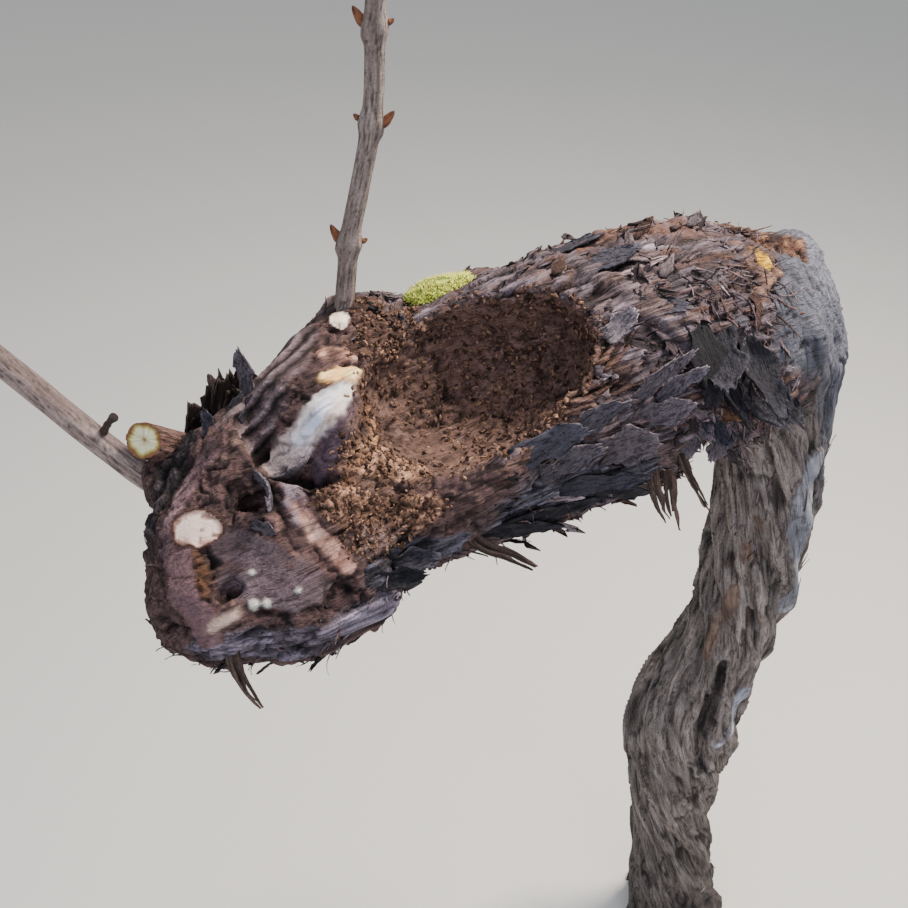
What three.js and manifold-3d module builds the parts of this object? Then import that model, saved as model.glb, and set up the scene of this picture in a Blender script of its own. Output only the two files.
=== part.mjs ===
// An old grapevine in winter: a sinuous trunk, a weathered crown where it turns, one thick arm scooped hollow,
// the swollen pruning head at its end, and the canes, spur, loose bark and moss that they carry.
// Millimetres, +Z up. The origin is the middle of the flat cut under the trunk, at ground level.
// Seen along +Y the arm runs to the left and comes forward.
import * as THREE from "three";
import { mergeVertices } from "three/addons/utils/BufferGeometryUtils.js";
import Module from "manifold-3d";

const wasm = await Module();
wasm.setup();

// Driving dimensions
const CLEARANCE = 0.3; // between two pieces that meet
const CROWN_UNDERSIDE = 540; // height at which the trunk ends and the crown begins
const ARM_START = new THREE.Vector3(-36, 8, 606);
const ARM_END = new THREE.Vector3(-276, -147, 598);
const ARM_BOW = { up: 9, side: 3.4 }; // how far the middle of the arm stands off its straight line
const CROWN_SHARE = 0.28; // share of the arm's length at which the crown ends
const HEAD_SHARE = 0.7; // share of the arm's length at which the head begins
const CROWN_HEART = [-24, 4, 604]; // deep in the crown, which is surveyed from here
const HEAD_HEART = [-264, -138, 597];

// Along the trunk: height, how far its middle stands to the side, radius
const TRUNK_COURSE = [
  [-30, 0, 50],
  [0, 0, 42],
  [60, -8, 34],
  [128, -16, 31],
  [193, -25, 33],
  [253, -28, 39],
  [290, -27, 38],
  [330, -17, 33],
  [375, -6, 30],
  [430, -3, 31],
  [480, -3, 31],
  [530, -7, 31],
  [575, -14, 34],
];
// The trunk's long ribs, slowly twisting. Every other rib stands out more, as the second wave has fewer.
const FLUTES = { count: 8, depth: 2.4, second: 5, share: 0.5, turnEvery: 420 };
const ROOT_SPURS = { count: 5, height: 60, depth: 5 }; // the flare divides into roots at the ground

// Along the arm: share of its length, radius
const ARM_GIRTH = [
  [0, 50],
  [0.1, 61],
  [0.25, 66],
  [0.45, 65],
  [0.62, 60],
  [0.74, 55],
  [0.87, 50],
  [1, 42],
];
const ARM_STATIONS = 15;

// Swellings on the trunk, arm and head. A chain's stations are [x, y, z, radius]; blend is how softly it joins.
const LOBES = {
  deadStrand: { blend: 5, chain: [[8, -8, 345, 7], [4, -12, 290, 8], [2, -10, 224, 7]] },
  crownFlank: { blend: 14, chain: [[-10, 34, 631, 18], [-7, 12, 600, 22], [-7, -7, 565, 18]] },
  headRidge: {
    blend: 10,
    chain: [[-247, -69, 649, 17], [-258, -93, 641, 22], [-269, -118, 632, 26], [-290, -144, 618, 26]],
  },
  roundStub: { blend: 10, chain: [[-305, -165, 604, 25], [-303, -183, 588, 26]] },
  lowerLip: { blend: 12, chain: [[-297, -183, 579, 24], [-265, -178, 581, 28], [-244, -169, 583, 24]] },
  neck: { blend: 10, chain: [[-299, -133, 616, 24], [-325, -136, 611, 14]] },
  backRim: { blend: 12, chain: [[-240, -57, 645, 16], [-220, -53, 631, 24], [-190, -31, 632, 24]] },
  lostBranch: { blend: 5, chain: [[-58, -40, 588, 14], [-58, -69, 583, 9]] },
};
// Hollows, as chains too: the scoop, which was cut out of the arm and opens forward, and the rot in the crown
const SCOOP = {
  heart: [-202, -122, 648],
  blend: 12,
  chains: [
    [[-204, -119, 647, 35], [-187, -107, 649, 37], [-161, -94, 653, 26]],
    [[-219, -145, 649, 22], [-222, -176, 632, 21]],
  ],
};
const CROWN_ROT = {
  heart: [-37, 8, 660],
  blend: 1,
  chains: [[[-52, 12, 664, 13], [-38, 6, 660, 15], [-20, 14, 658, 13]]],
};
const UNDERARM = { blend: 6, chain: [[-77, -100, 596, 11], [-56, -29, 540, 12]] }; // where arm and trunk part
// Pruning cuts: a point of the flat face, the way it looks, and how far the saw reached
const CUTS = {
  longCut: { at: [-258, -137, 650], faces: [-0.36, -0.72, 0.59], reach: 34 },
  roundCut: { at: [-304, -180, 625], faces: [-0.3, -0.55, 0.78], reach: 20 },
  leftCut: { at: [-297, -207, 606], faces: [-0.4, -0.88, 0.25], reach: 26 },
  lipCut: { at: [-257, -201, 600], faces: [0.1, -0.93, 0.35], reach: 55 },
};
const CUT_BLEND = 1.5;

// Canes and spur: the points that each passes through, its radius at foot and tip, and its nodes, as shares of
// its length, where it swells and bears a bud
const UPRIGHT_CANE = {
  course: [
    [-255, -77, 640],
    [-250, -71, 662],
    [-245, -69, 697],
    [-233, -66, 750],
    [-229, -67, 798],
    [-222, -70, 900],
    [-226, -62, 1010],
    [-216, -50, 1100],
  ],
  radii: [4.6, 3.2],
  nodes: [0.122, 0.24, 0.325, 0.46, 0.6, 0.74, 0.88],
};
const SIDE_CANE = {
  course: [
    [-306, -137, 588],
    [-334, -136, 612],
    [-354, -132, 630],
    [-383, -127, 661],
    [-410, -123, 690],
    [-455, -112, 735],
    [-505, -100, 775],
    [-560, -85, 800],
    [-620, -70, 812],
  ],
  radii: [6.1, 4.2],
  nodes: [0.36, 0.53, 0.7, 0.87],
};
const CUT_SPUR = {
  course: [
    [-304, -108, 598],
    [-319, -122, 617],
    [-333, -137, 635],
  ],
  radii: [8.4, 7.8],
  nodes: [],
};
const CANE_SIDES = 8;
const CANE_STEP = 15; // between two rings of a cane
const NODE_SWELLING = { height: 1.5, reach: 4.5 }; // what a node adds to the cane's radius, and how far along
const BUD = { length: 9, radius: 2.8 };
const DRY_STALK = { share: 0.16, length: 17, radius: 2 }; // left by a side shoot on the side cane

// Loose bark: the line that each strip hangs along, from a root in the wood, and its width there
const BARK_STRIPS = {
  strip_left: { width: 8, line: [[-104, -102, 600], [-102, -107, 587], [-97, -105, 572], [-90, -102, 553]] },
  strip_middle: { width: 7, line: [[-96, -94, 598], [-93, -102, 584], [-89, -100, 567], [-82, -97, 545]] },
  strip_right: { width: 5, line: [[-92, -92, 604], [-84, -95, 587], [-74, -90, 566], [-62, -84, 544]] },
  strip_arm: { width: 9, line: [[-198, -144, 594], [-186, -152, 587], [-172, -152, 580], [-160, -150, 570]] },
  strip_head: { width: 7, line: [[-292, -202, 585], [-289, -211, 575], [-284, -216, 564], [-276, -219, 553]] },
};
const BARK_THICKNESS = 1.6;
// Dead plates of bark that stand up behind the head: foot, height, width
const DEAD_PLATES = [
  { foot: [-313, -104, 606], height: 34, width: 15 },
  { foot: [-304, -99, 612], height: 40, width: 17 },
  { foot: [-295, -94, 616], height: 34, width: 16 },
];
const PLATE_THICKNESS = 5;
const MOSS = { at: [-203, -44, 654], size: [23, 11, 9] }; // half sizes of the cushion

const UP = new THREE.Vector3(0, 0, 1);
const ARM_RUN = ARM_END.clone().sub(ARM_START).setZ(0);
const ARM_DIRECTION = ARM_RUN.clone().normalize();
const ARM_SIDE = ARM_DIRECTION.clone().cross(UP);

// Softly joined minimum of two distances, and the maximum.
function smoothMin(a, b, blend) {
  const overlap = Math.max(blend - Math.abs(a - b), 0) / blend;
  return Math.min(a, b) - (overlap * overlap * blend) / 4;
}
const smoothMax = (a, b, blend) => -smoothMin(-a, -b, blend);

// The value at x of the smooth curve through a table's points, whose heights are in the given column.
function tableCurve(rows, column) {
  const last = rows.length - 1;
  const slopeAt = (i) => {
    const [before, after] = [rows[Math.max(i - 1, 0)], rows[Math.min(i + 1, last)]];
    return (after[column] - before[column]) / (after[0] - before[0]);
  };
  return (x) => {
    const i = Math.max(rows.slice(1, last).filter((row) => row[0] <= x).length, 0);
    const width = rows[i + 1][0] - rows[i][0];
    const t = THREE.MathUtils.clamp((x - rows[i][0]) / width, 0, 1);
    const ease = t * t * (3 - 2 * t);
    const leave = slopeAt(i) * width * t * (1 - t) * (1 - t);
    const arrive = slopeAt(i + 1) * width * t * t * (t - 1);
    return rows[i][column] * (1 - ease) + rows[i + 1][column] * ease + leave + arrive;
  };
}
const trunkSide = tableCurve(TRUNK_COURSE, 1);
const trunkRadius = tableCurve(TRUNK_COURSE, 2);
const armRadius = tableCurve(ARM_GIRTH, 1);

// The middle of the arm at a share of its length.
function armMiddle(share) {
  const bow = Math.sin(Math.PI * share);
  const middle = ARM_START.clone().addScaledVector(ARM_RUN, share);
  middle.z += (ARM_END.z - ARM_START.z) * share + ARM_BOW.up * bow;
  return middle.addScaledVector(ARM_SIDE, ARM_BOW.side * bow);
}

// Distance from p to a chain of round stations, negative inside.
function chainDistance(p, chain) {
  let nearest = Infinity;
  for (let i = 1; i < chain.length; i++) {
    const [ax, ay, az, ar] = chain[i - 1];
    const [bx, by, bz, br] = chain[i];
    const [dx, dy, dz] = [bx - ax, by - ay, bz - az];
    const along = ((p.x - ax) * dx + (p.y - ay) * dy + (p.z - az) * dz) / (dx * dx + dy * dy + dz * dz);
    const share = THREE.MathUtils.clamp(along, 0, 1);
    const gap = Math.hypot(p.x - ax - share * dx, p.y - ay - share * dy, p.z - az - share * dz);
    nearest = Math.min(nearest, gap - ar - share * (br - ar));
  }
  return nearest;
}

// The trunk: round at each height, with twisting flutes, and a flare that divides into roots.
function trunkDistance(p) {
  const top = TRUNK_COURSE[TRUNK_COURSE.length - 1][0];
  const height = Math.min(p.z, top);
  const angle = Math.atan2(p.y, p.x - trunkSide(height));
  const turned = angle + (2 * Math.PI * height) / FLUTES.turnEvery;
  const fade = THREE.MathUtils.clamp((CROWN_UNDERSIDE + 20 - p.z) / 60, 0, 1);
  const first = Math.sin(FLUTES.count * turned + Math.sin(height / 60));
  const second = Math.sin(FLUTES.second * turned + height / 90);
  const flute = FLUTES.depth * fade * (first + FLUTES.share * second);
  const flare = THREE.MathUtils.clamp(1 - height / ROOT_SPURS.height, 0, 1);
  const spur = ROOT_SPURS.depth * flare * flare * Math.cos(ROOT_SPURS.count * angle + 1);
  const across = Math.hypot(p.x - trunkSide(height), p.y);
  return smoothMax(across - trunkRadius(height) - flute - spur, p.z - top - 25, 10);
}

// The arm as round stations along its bowed middle.
const ARM_CHAIN = Array.from({ length: ARM_STATIONS }, (_, i) => {
  const share = i / (ARM_STATIONS - 1);
  return [...armMiddle(share).toArray(), armRadius(share)];
});

// What a cut takes away: all that stands in front of its face, as far as the saw reached.
function cutDistance(p, { at, faces, reach }) {
  const [x, y, z] = [p.x - at[0], p.y - at[1], p.z - at[2]];
  const inFront = (x * faces[0] + y * faces[1] + z * faces[2]) / Math.hypot(...faces);
  return smoothMax(-inFront, Math.hypot(x, y, z) - reach, 3);
}

// All of the old wood as one distance, negative inside, before anything was hollowed out of it.
function woodDistance(p) {
  let d = smoothMin(trunkDistance(p), chainDistance(p, ARM_CHAIN), 18);
  for (const { blend, chain } of Object.values(LOBES)) d = smoothMin(d, chainDistance(p, chain), blend);
  for (const cut of Object.values(CUTS)) d = smoothMax(d, -cutDistance(p, cut), CUT_BLEND);
  return smoothMax(d, -chainDistance(p, UNDERARM.chain), UNDERARM.blend);
}

// A hollow's distance, negative in the hollow.
function hollowDistance(p, { chains, blend }) {
  return chains.map((chain) => chainDistance(p, chain)).reduce((a, b) => smoothMin(a, b, blend));
}

// The outermost place where a ray from inside a form crosses its surface, which is grown by some clearance.
function surfaceAlong(distance, origin, direction, farthest, grown) {
  const p = new THREE.Vector3();
  const outside = (r) => distance(p.copy(origin).addScaledVector(direction, r)) - grown;
  let inner = farthest;
  let outer = farthest;
  for (let value = outside(inner); value > 0 && inner > 1; value = outside(inner)) {
    outer = inner;
    inner -= Math.max(value * 0.8, 0.5);
  }
  while (outer - inner > 0.01) {
    const middle = (inner + outer) / 2;
    if (outside(middle) > 0) outer = middle;
    else inner = middle;
  }
  return origin.clone().addScaledVector(direction, (inner + outer) / 2);
}

// A manifold-3d solid from a closed three.js geometry, facing out.
function solidFromGeometry(geometry) {
  const bare = geometry.clone();
  bare.deleteAttribute("normal");
  bare.deleteAttribute("uv");
  const merged = mergeVertices(bare, 1e-4);
  const vertProperties = new Float32Array(merged.attributes.position.array);
  const triVerts = new Uint32Array(merged.index.array);
  const solid = new wasm.Manifold(new wasm.Mesh({ numProp: 3, vertProperties, triVerts }));
  if (solid.volume() > 0) return solid;
  return new wasm.Manifold(new wasm.Mesh({ numProp: 3, vertProperties, triVerts: triVerts.reverse() }));
}

// A closed solid from closed rings of points. Each end is filled from a tip: the ring's middle, if not given.
function solidFromRings(rings, tips = []) {
  const around = rings[0].length;
  const middleOf = (ring) => ring.reduce((sum, p) => sum.add(p), new THREE.Vector3()).divideScalar(around);
  const first = tips[0] ?? middleOf(rings[0]);
  const last = tips[1] ?? middleOf(rings[rings.length - 1]);
  const points = [...rings.flat(), first, last];
  const faces = [];
  for (let j = 0; j < around; j++) {
    const k = (j + 1) % around;
    for (let a = 0; a + 2 < points.length - around; a += around) {
      const b = a + around;
      faces.push(a + j, a + k, b + k, a + j, b + k, b + j);
    }
    const top = (rings.length - 1) * around;
    faces.push(points.length - 2, k, j, points.length - 1, top + j, top + k);
  }
  const geometry = new THREE.BufferGeometry().setFromPoints(points);
  geometry.setIndex(faces);
  return solidFromGeometry(geometry);
}

// A ring of points: where rays from the middle reach a form's surface. They turn about an axis, and may lean
// towards it.
function ringOf({ distance, middle, from, towards, axis, lean = 0, around, farthest, grown }) {
  return Array.from({ length: around }, (_, j) => {
    const angle = (2 * Math.PI * j) / around;
    const ray = from.clone().multiplyScalar(Math.cos(angle)).addScaledVector(towards, Math.sin(angle));
    ray.multiplyScalar(Math.cos(lean)).addScaledVector(axis, Math.sin(lean));
    return surfaceAlong(distance, middle, ray, farthest, grown);
  });
}

// The trunk from the ground to a height, in level rings.
function trunkSolid(height, grown = 0) {
  const rings = 34;
  const level = { from: new THREE.Vector3(1, 0, 0), towards: new THREE.Vector3(0, 1, 0), axis: UP };
  return solidFromRings(
    Array.from({ length: rings }, (_, i) => {
      const z = (height * i) / (rings - 1);
      const middle = new THREE.Vector3(trunkSide(z), 0, z);
      return ringOf({ ...level, distance: woodDistance, middle, around: 60, farthest: 90, grown });
    }),
  );
}

// The arm between two shares of its length, in rings across it.
const ACROSS_ARM = { from: UP, towards: ARM_SIDE, axis: ARM_DIRECTION };
function armSolid(start, end, grown = 0) {
  const rings = 15;
  return solidFromRings(
    Array.from({ length: rings }, (_, i) => {
      const middle = armMiddle(start + ((end - start) * i) / (rings - 1));
      return ringOf({ ...ACROSS_ARM, distance: woodDistance, middle, around: 44, farthest: 120, grown });
    }),
  );
}

// A form all round a point inside it, as far as 140 mm from there.
function surveyedSolid(distance, heart, { bands = 26, around = 40, grown = 0 } = {}) {
  const middle = new THREE.Vector3(...heart);
  const farthest = 140;
  const rings = Array.from({ length: bands - 1 }, (_, i) => {
    const lean = ((i + 1) / bands - 0.5) * Math.PI;
    return ringOf({ ...ACROSS_ARM, distance, middle, lean, around, farthest, grown });
  });
  const tips = [-1, 1].map((sign) => {
    return surfaceAlong(distance, middle, ARM_DIRECTION.clone().multiplyScalar(sign), farthest, grown);
  });
  return solidFromRings(rings, tips);
}
function hollowSolid(hollow, grown = 0) {
  return surveyedSolid((p) => hollowDistance(p, hollow), hollow.heart, { bands: 18, around: 30, grown });
}

// A block that fills everything beyond a plane.
function blockBeyond(point, direction) {
  const block = new THREE.BoxGeometry(900, 900, 900).translate(0, 0, 450);
  block.applyQuaternion(new THREE.Quaternion().setFromUnitVectors(UP, direction));
  return solidFromGeometry(block.translate(point.x, point.y, point.z));
}

// A ring of points about a curve's place: each [across, outward] pair is laid on the two side directions.
function profileAt(curve, share, sideways, section, slant = 0) {
  const middle = curve.getPointAt(share);
  const tangent = curve.getTangentAt(share);
  const side = sideways.clone().cross(tangent).normalize();
  const front = tangent.clone().cross(side);
  return section.map(([across, outward]) => {
    const point = middle.clone().addScaledVector(side, across).addScaledVector(front, outward);
    return point.addScaledVector(tangent, across * slant);
  });
}
const curveThrough = (points) => new THREE.CatmullRomCurve3(points.map((p) => new THREE.Vector3(...p)));
const BACKWARD = new THREE.Vector3(0, 1, 0);

// A cane or spur: a round tube along its course, with a swelling and a bud at each node and a slanting tip.
function shootSolid({ course, radii, nodes }) {
  const curve = curveThrough(course);
  const length = curve.getLength();
  const steps = Math.round(length / CANE_STEP);
  const even = Array.from({ length: steps + 1 }, (_, i) => i / steps);
  const clear = even.filter((share) => nodes.every((node) => Math.abs(share - node) * length > 8));
  const close = nodes.flatMap((node) => [-5, -2, 0, 2, 5].map((offset) => node + offset / length));
  const shares = [...clear, ...close].sort((a, b) => a - b);
  const swellAt = (share) => {
    const gaps = nodes.map((node) => ((share - node) * length) / NODE_SWELLING.reach);
    return NODE_SWELLING.height * gaps.reduce((sum, gap) => sum + Math.exp(-gap * gap), 0);
  };
  const radiusAt = (share) => THREE.MathUtils.lerp(...radii, share) + swellAt(share);
  const rings = shares.map((share) => {
    const circle = Array.from({ length: CANE_SIDES }, (_, j) => {
      const angle = (2 * Math.PI * j) / CANE_SIDES;
      return [radiusAt(share) * Math.cos(angle), radiusAt(share) * Math.sin(angle)];
    });
    return profileAt(curve, share, BACKWARD, circle, share === 1 ? 0.7 : 0);
  });
  let solid = solidFromRings(rings);
  nodes.forEach((node, i) => {
    const tangent = curve.getTangentAt(node);
    const side = BACKWARD.clone().cross(tangent).normalize().multiplyScalar(i % 2 ? 1 : -1);
    const lean = side.clone().addScaledVector(tangent, 1.1).normalize();
    const bud = new THREE.SphereGeometry(1, 8, 6).scale(BUD.radius, BUD.length / 2, BUD.radius);
    bud.applyQuaternion(new THREE.Quaternion().setFromUnitVectors(BACKWARD, lean));
    const at = curve.getPointAt(node).addScaledVector(side, radiusAt(node) - 1).addScaledVector(lean, 2.5);
    solid = solid.add(solidFromGeometry(bud.translate(at.x, at.y, at.z)));
  });
  return solid;
}

// The short dry stalk on the side cane, square to it and pointing up.
function dryStalkSolid() {
  const curve = curveThrough(SIDE_CANE.course);
  const foot = curve.getPointAt(DRY_STALK.share);
  const out = BACKWARD.clone().cross(curve.getTangentAt(DRY_STALK.share)).normalize();
  out.multiplyScalar(Math.sign(out.z)).lerp(UP, 0.3).normalize();
  const stalk = new THREE.CylinderGeometry(DRY_STALK.radius * 0.7, DRY_STALK.radius, DRY_STALK.length, 7);
  stalk.translate(0, DRY_STALK.length / 2, 0);
  stalk.applyQuaternion(new THREE.Quaternion().setFromUnitVectors(new THREE.Vector3(0, 1, 0), out));
  return solidFromGeometry(stalk.translate(foot.x, foot.y, foot.z));
}

// A strip of bark: thin, cupped across, and narrowing to its loose end.
function stripSolid({ width, line }) {
  const curve = curveThrough(line);
  const rings = Array.from({ length: 11 }, (_, i) => {
    const share = i / 10;
    const half = (width / 2) * (1 - 0.6 * share * share);
    const cup = (across) => (3 * across * across) / width;
    const face = [-1, -0.5, 0.5, 1].map((place) => place * half);
    const thick = [0.6, 1, 1, 0.6].map((part) => (part * BARK_THICKNESS) / 2);
    const outer = face.map((across, j) => [across, cup(across) + thick[j]]);
    const inner = face.map((across, j) => [across, cup(across) - thick[j]]);
    return profileAt(curve, share, BACKWARD, [...inner, ...outer.reverse()]);
  });
  return solidFromRings(rings);
}

// The dead plates behind the head: flat spikes that overlap.
function deadPlatesSolid() {
  const spikes = DEAD_PLATES.map(({ foot, height, width }, i) => {
    const spike = new THREE.CylinderGeometry(0.28, 0.5, 1, 6, 3).translate(0, 0.5, 0);
    spike.scale(width, height, PLATE_THICKNESS).rotateX(Math.PI / 2);
    spike.rotateY(0.16 * (i - 1)).rotateZ(0.55);
    return solidFromGeometry(spike.translate(...foot));
  });
  return spikes.reduce((all, spike) => all.add(spike));
}

// The moss: a low cushion.
function mossSolid() {
  const cushion = new THREE.SphereGeometry(1, 18, 12).scale(...MOSS.size).rotateZ(0.5);
  return solidFromGeometry(cushion.translate(...MOSS.at));
}

// The old wood's own pieces, with a clearance at each seam and the hollows taken out
const half = CLEARANCE / 2;
const crownEnd = armMiddle(CROWN_SHARE).addScaledVector(ARM_DIRECTION, -half);
const headStart = armMiddle(HEAD_SHARE).addScaledVector(ARM_DIRECTION, half);
const scoop = hollowSolid(SCOOP);
const trunk = trunkSolid(CROWN_UNDERSIDE - half);
const crown = surveyedSolid(woodDistance, CROWN_HEART)
  .intersect(blockBeyond(new THREE.Vector3(0, 0, CROWN_UNDERSIDE + half), UP))
  .intersect(blockBeyond(crownEnd, ARM_DIRECTION.clone().negate()))
  .subtract(hollowSolid(CROWN_ROT));
const seam = half / ARM_RUN.length();
const arm = armSolid(CROWN_SHARE + seam, HEAD_SHARE - seam).subtract(scoop);
const head = surveyedSolid(woodDistance, HEAD_HEART)
  .intersect(blockBeyond(headStart, ARM_DIRECTION))
  .subtract(scoop);

// The same wood grown by the clearance, which is cut out of whatever is fixed to it
const grownWood = surveyedSolid(woodDistance, CROWN_HEART, { grown: CLEARANCE })
  .add(armSolid(CROWN_SHARE + seam, HEAD_SHARE - seam, CLEARANCE))
  .add(surveyedSolid(woodDistance, HEAD_HEART, { grown: CLEARANCE }))
  .subtract(hollowSolid(SCOOP, -CLEARANCE));

// A named mesh. What was cut from a fixed piece's buried foot may leave crumbs, so only its largest body stays.
function meshOf(name, solid, material) {
  const body = solid.decompose().sort((a, b) => b.volume() - a.volume())[0];
  const { vertProperties, triVerts, numProp } = body.getMesh();
  const geometry = new THREE.BufferGeometry();
  geometry.setAttribute("position", new THREE.BufferAttribute(new Float32Array(vertProperties), numProp));
  geometry.setIndex(new THREE.BufferAttribute(new Uint32Array(triVerts), 1));
  geometry.computeVertexNormals();
  const mesh = new THREE.Mesh(geometry, material);
  mesh.name = name;
  return mesh;
}

// The colour and roughness of each kind of wood
const finish = (color, roughness) => new THREE.MeshStandardMaterial({ color, roughness, metalness: 0 });
const vine = new THREE.Group();
vine.name = "grapevine";
vine.add(
  meshOf("trunk", trunk, finish(0x6a5c54, 0.9)),
  meshOf("crown", crown, finish(0x857a74, 0.88)),
  meshOf("arm", arm, finish(0x4a3c36, 0.92)),
  meshOf("head", head, finish(0x6f5347, 0.9)),
);

const upright = shootSolid(UPRIGHT_CANE).subtract(grownWood);
const side = shootSolid(SIDE_CANE).add(dryStalkSolid()).subtract(grownWood);
const spur = shootSolid(CUT_SPUR).subtract(grownWood);
const grownSpur = shootSolid({ ...CUT_SPUR, radii: CUT_SPUR.radii.map((radius) => radius + CLEARANCE) });
const plates = deadPlatesSolid().subtract(grownWood).subtract(grownSpur);
vine.add(
  meshOf("cane_upright", upright, finish(0x7b6a5c, 0.7)),
  meshOf("cane_side", side, finish(0x84726f, 0.7)),
  meshOf("cut_spur", spur, finish(0x70503f, 0.75)),
  meshOf("bark_plates", plates, finish(0x2f2723, 0.95)),
  meshOf("moss", mossSolid().subtract(grownWood), finish(0x9aa63a, 1)),
);
for (const [name, strip] of Object.entries(BARK_STRIPS)) {
  vine.add(meshOf("bark_" + name, stripSolid(strip).subtract(grownWood), finish(0x5e4a40, 0.9)));
}

export default vine;
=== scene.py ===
# An old grapevine in winter, from its flat cut at the ground to its pruned canes.
# Shapes are worked out in millimetres in the part's own frame, with +Z up and the origin in the middle of the
# cut under the trunk. They are written to the meshes in metres.
import math

import bpy
import numpy as np
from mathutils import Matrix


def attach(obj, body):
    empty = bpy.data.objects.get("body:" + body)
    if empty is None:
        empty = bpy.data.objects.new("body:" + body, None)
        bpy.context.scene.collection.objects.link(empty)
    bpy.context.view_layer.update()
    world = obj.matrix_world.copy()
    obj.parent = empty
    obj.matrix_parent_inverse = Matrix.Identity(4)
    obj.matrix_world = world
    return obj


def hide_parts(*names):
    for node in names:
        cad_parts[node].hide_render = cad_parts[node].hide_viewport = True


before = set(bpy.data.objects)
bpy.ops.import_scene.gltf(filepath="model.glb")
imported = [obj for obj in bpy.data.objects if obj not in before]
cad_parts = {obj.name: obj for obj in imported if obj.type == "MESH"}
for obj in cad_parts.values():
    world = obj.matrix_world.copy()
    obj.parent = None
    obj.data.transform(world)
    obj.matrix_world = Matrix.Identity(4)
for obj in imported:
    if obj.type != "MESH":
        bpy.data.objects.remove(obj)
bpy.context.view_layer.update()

# Camera, floor and light
# The camera looks down on the vine by 38 degrees from above the arm, as in the photo.
# The floor is plain and pale. Soft warm light comes from behind on the right, with cooler fill from the front.
PHOTO_WIDTH, FOCAL_LENGTH = 908, 1049  # in the photo's pixels
LOOKS_DOWN = 38  # degrees
camera = bpy.data.objects.new("camera", bpy.data.cameras.new("camera"))
camera.data.sensor_width = 36
camera.data.lens = camera.data.sensor_width * FOCAL_LENGTH / PHOTO_WIDTH
camera.location = (-0.1983, -0.4992, 0.9105)
camera.rotation_euler = (math.radians(90 - LOOKS_DOWN), 0, 0)
bpy.context.collection.objects.link(camera)
bpy.context.scene.camera = camera


def linear(hex_colour):
    """An sRGB hex colour as linear red, green and blue."""
    channels = np.array([int(hex_colour[i : i + 2], 16) for i in (0, 2, 4)]) / 255
    return np.where(channels <= 0.04045, channels / 12.92, ((channels + 0.055) / 1.055) ** 2.4)


def add_node(tree, kind, values=(), links=(), **settings):
    """Adds a shader node. Settings are its properties, values set its sockets, and links feed them."""
    node = tree.nodes.new(kind)
    for name, value in settings.items():
        setattr(node, name, value)
    for socket, value in dict(values).items():
        node.inputs[socket].default_value = value
    for socket, source in dict(links).items():
        tree.links.new(source, node.inputs[socket])
    return node


def remap(tree, source, low, high, to_low, to_high):
    """Moves a value from the range low to high into another one."""
    values = {"From Min": low, "From Max": high, "To Min": to_low, "To Max": to_high}
    return add_node(tree, "ShaderNodeMapRange", values, {"Value": source}).outputs[0]


def noise(tree, place, detail, roughness=0.5, scale=1.0, distortion=0.0):
    """Noise from 0 to 1 at a place. Scale is how many lumps it has to a unit."""
    values = {"Scale": scale, "Detail": detail, "Roughness": roughness, "Distortion": distortion}
    return add_node(tree, "ShaderNodeTexNoise", values, {"Vector": place}).outputs["Fac"]


def new_material(name):
    """An empty node material with its Principled shader wired to the output."""
    material = bpy.data.materials.new(name)
    material.use_nodes = True
    return material, material.node_tree, material.node_tree.nodes["Principled BSDF"]


def set_tone(tree, shader, tint, level):
    """The shader's colour: the mesh's own tint, made lighter or darker by level."""
    colour = add_node(tree, "ShaderNodeVectorMath", (), {0: tint, "Scale": level}, operation="SCALE")
    tree.links.new(colour.outputs[0], shader.inputs["Base Color"])


def area_light(name, place, towards, size, power, colour):
    """A square soft light of the given size in metres and power in watts, turned towards a point."""
    light = bpy.data.objects.new(name, bpy.data.lights.new(name, "AREA"))
    light.data.size = size
    light.data.energy = power
    light.data.color = linear(colour)
    light.location = place
    aim = np.subtract(towards, place)
    tilt, heading = math.acos(-aim[2] / np.linalg.norm(aim)), math.atan2(aim[1], aim[0])
    light.rotation_euler = (tilt, 0, heading - math.pi / 2)
    bpy.context.collection.objects.link(light)


area_light("sun side", (0.42, 0.27, 1.55), (-0.15, -0.08, 0.6), 0.3, 40, "fff3e4")
area_light("sky side", (-1.1, -1.3, 2.0), (-0.15, -0.1, 0.55), 1.6, 14, "e2e9ff")
area_light("front fill", (0.5, -1.6, 0.9), (-0.1, -0.1, 0.5), 1.4, 12, "f4f4ff")
world = bpy.data.worlds.new("studio")
world.use_nodes = True
background = world.node_tree.nodes["Background"]
background.inputs["Color"].default_value = (*linear("eef2f6"), 1)
background.inputs["Strength"].default_value = 0.6
bpy.context.scene.world = world

floor_mesh = bpy.data.meshes.new("floor")
FLOOR = 4  # metres from the middle to each side
floor_corners = [(-FLOOR, -FLOOR, 0), (FLOOR, -FLOOR, 0), (FLOOR, FLOOR, 0), (-FLOOR, FLOOR, 0)]
floor_mesh.from_pydata(floor_corners, [], [(0, 1, 2, 3)])
floor = bpy.data.objects.new("floor", floor_mesh)
bpy.context.collection.objects.link(floor)
# Even and without gloss, so that shadows read well
floor_paint, tree, shader = new_material("pale matt floor paint")
shader.inputs["Base Color"].default_value = (*linear("dddbd7"), 1)
shader.inputs["Roughness"].default_value = 0.9
floor_mesh.materials.append(floor_paint)

# The old wood: trunk, crown, arm and head
# Many years of grapevine wood under stringy bark: grey on the trunk, weathered silver at the crown, and dark
# flakes on the arm. The arm is scooped hollow, and the head is scarred by saw cuts and rot.
# All four pieces share one form, so they run on into each other. It is a distance, negative in the wood.
CROWN_UNDERSIDE = 540
ARM_START = np.array([-36, 8, 606.0])
ARM_END = np.array([-276, -147, 598.0])
ARM_BOW = {"up": 9, "side": 3.4}
CROWN_SHARE, HEAD_SHARE = 0.28, 0.7  # where the crown ends and the head begins, along the arm
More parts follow.
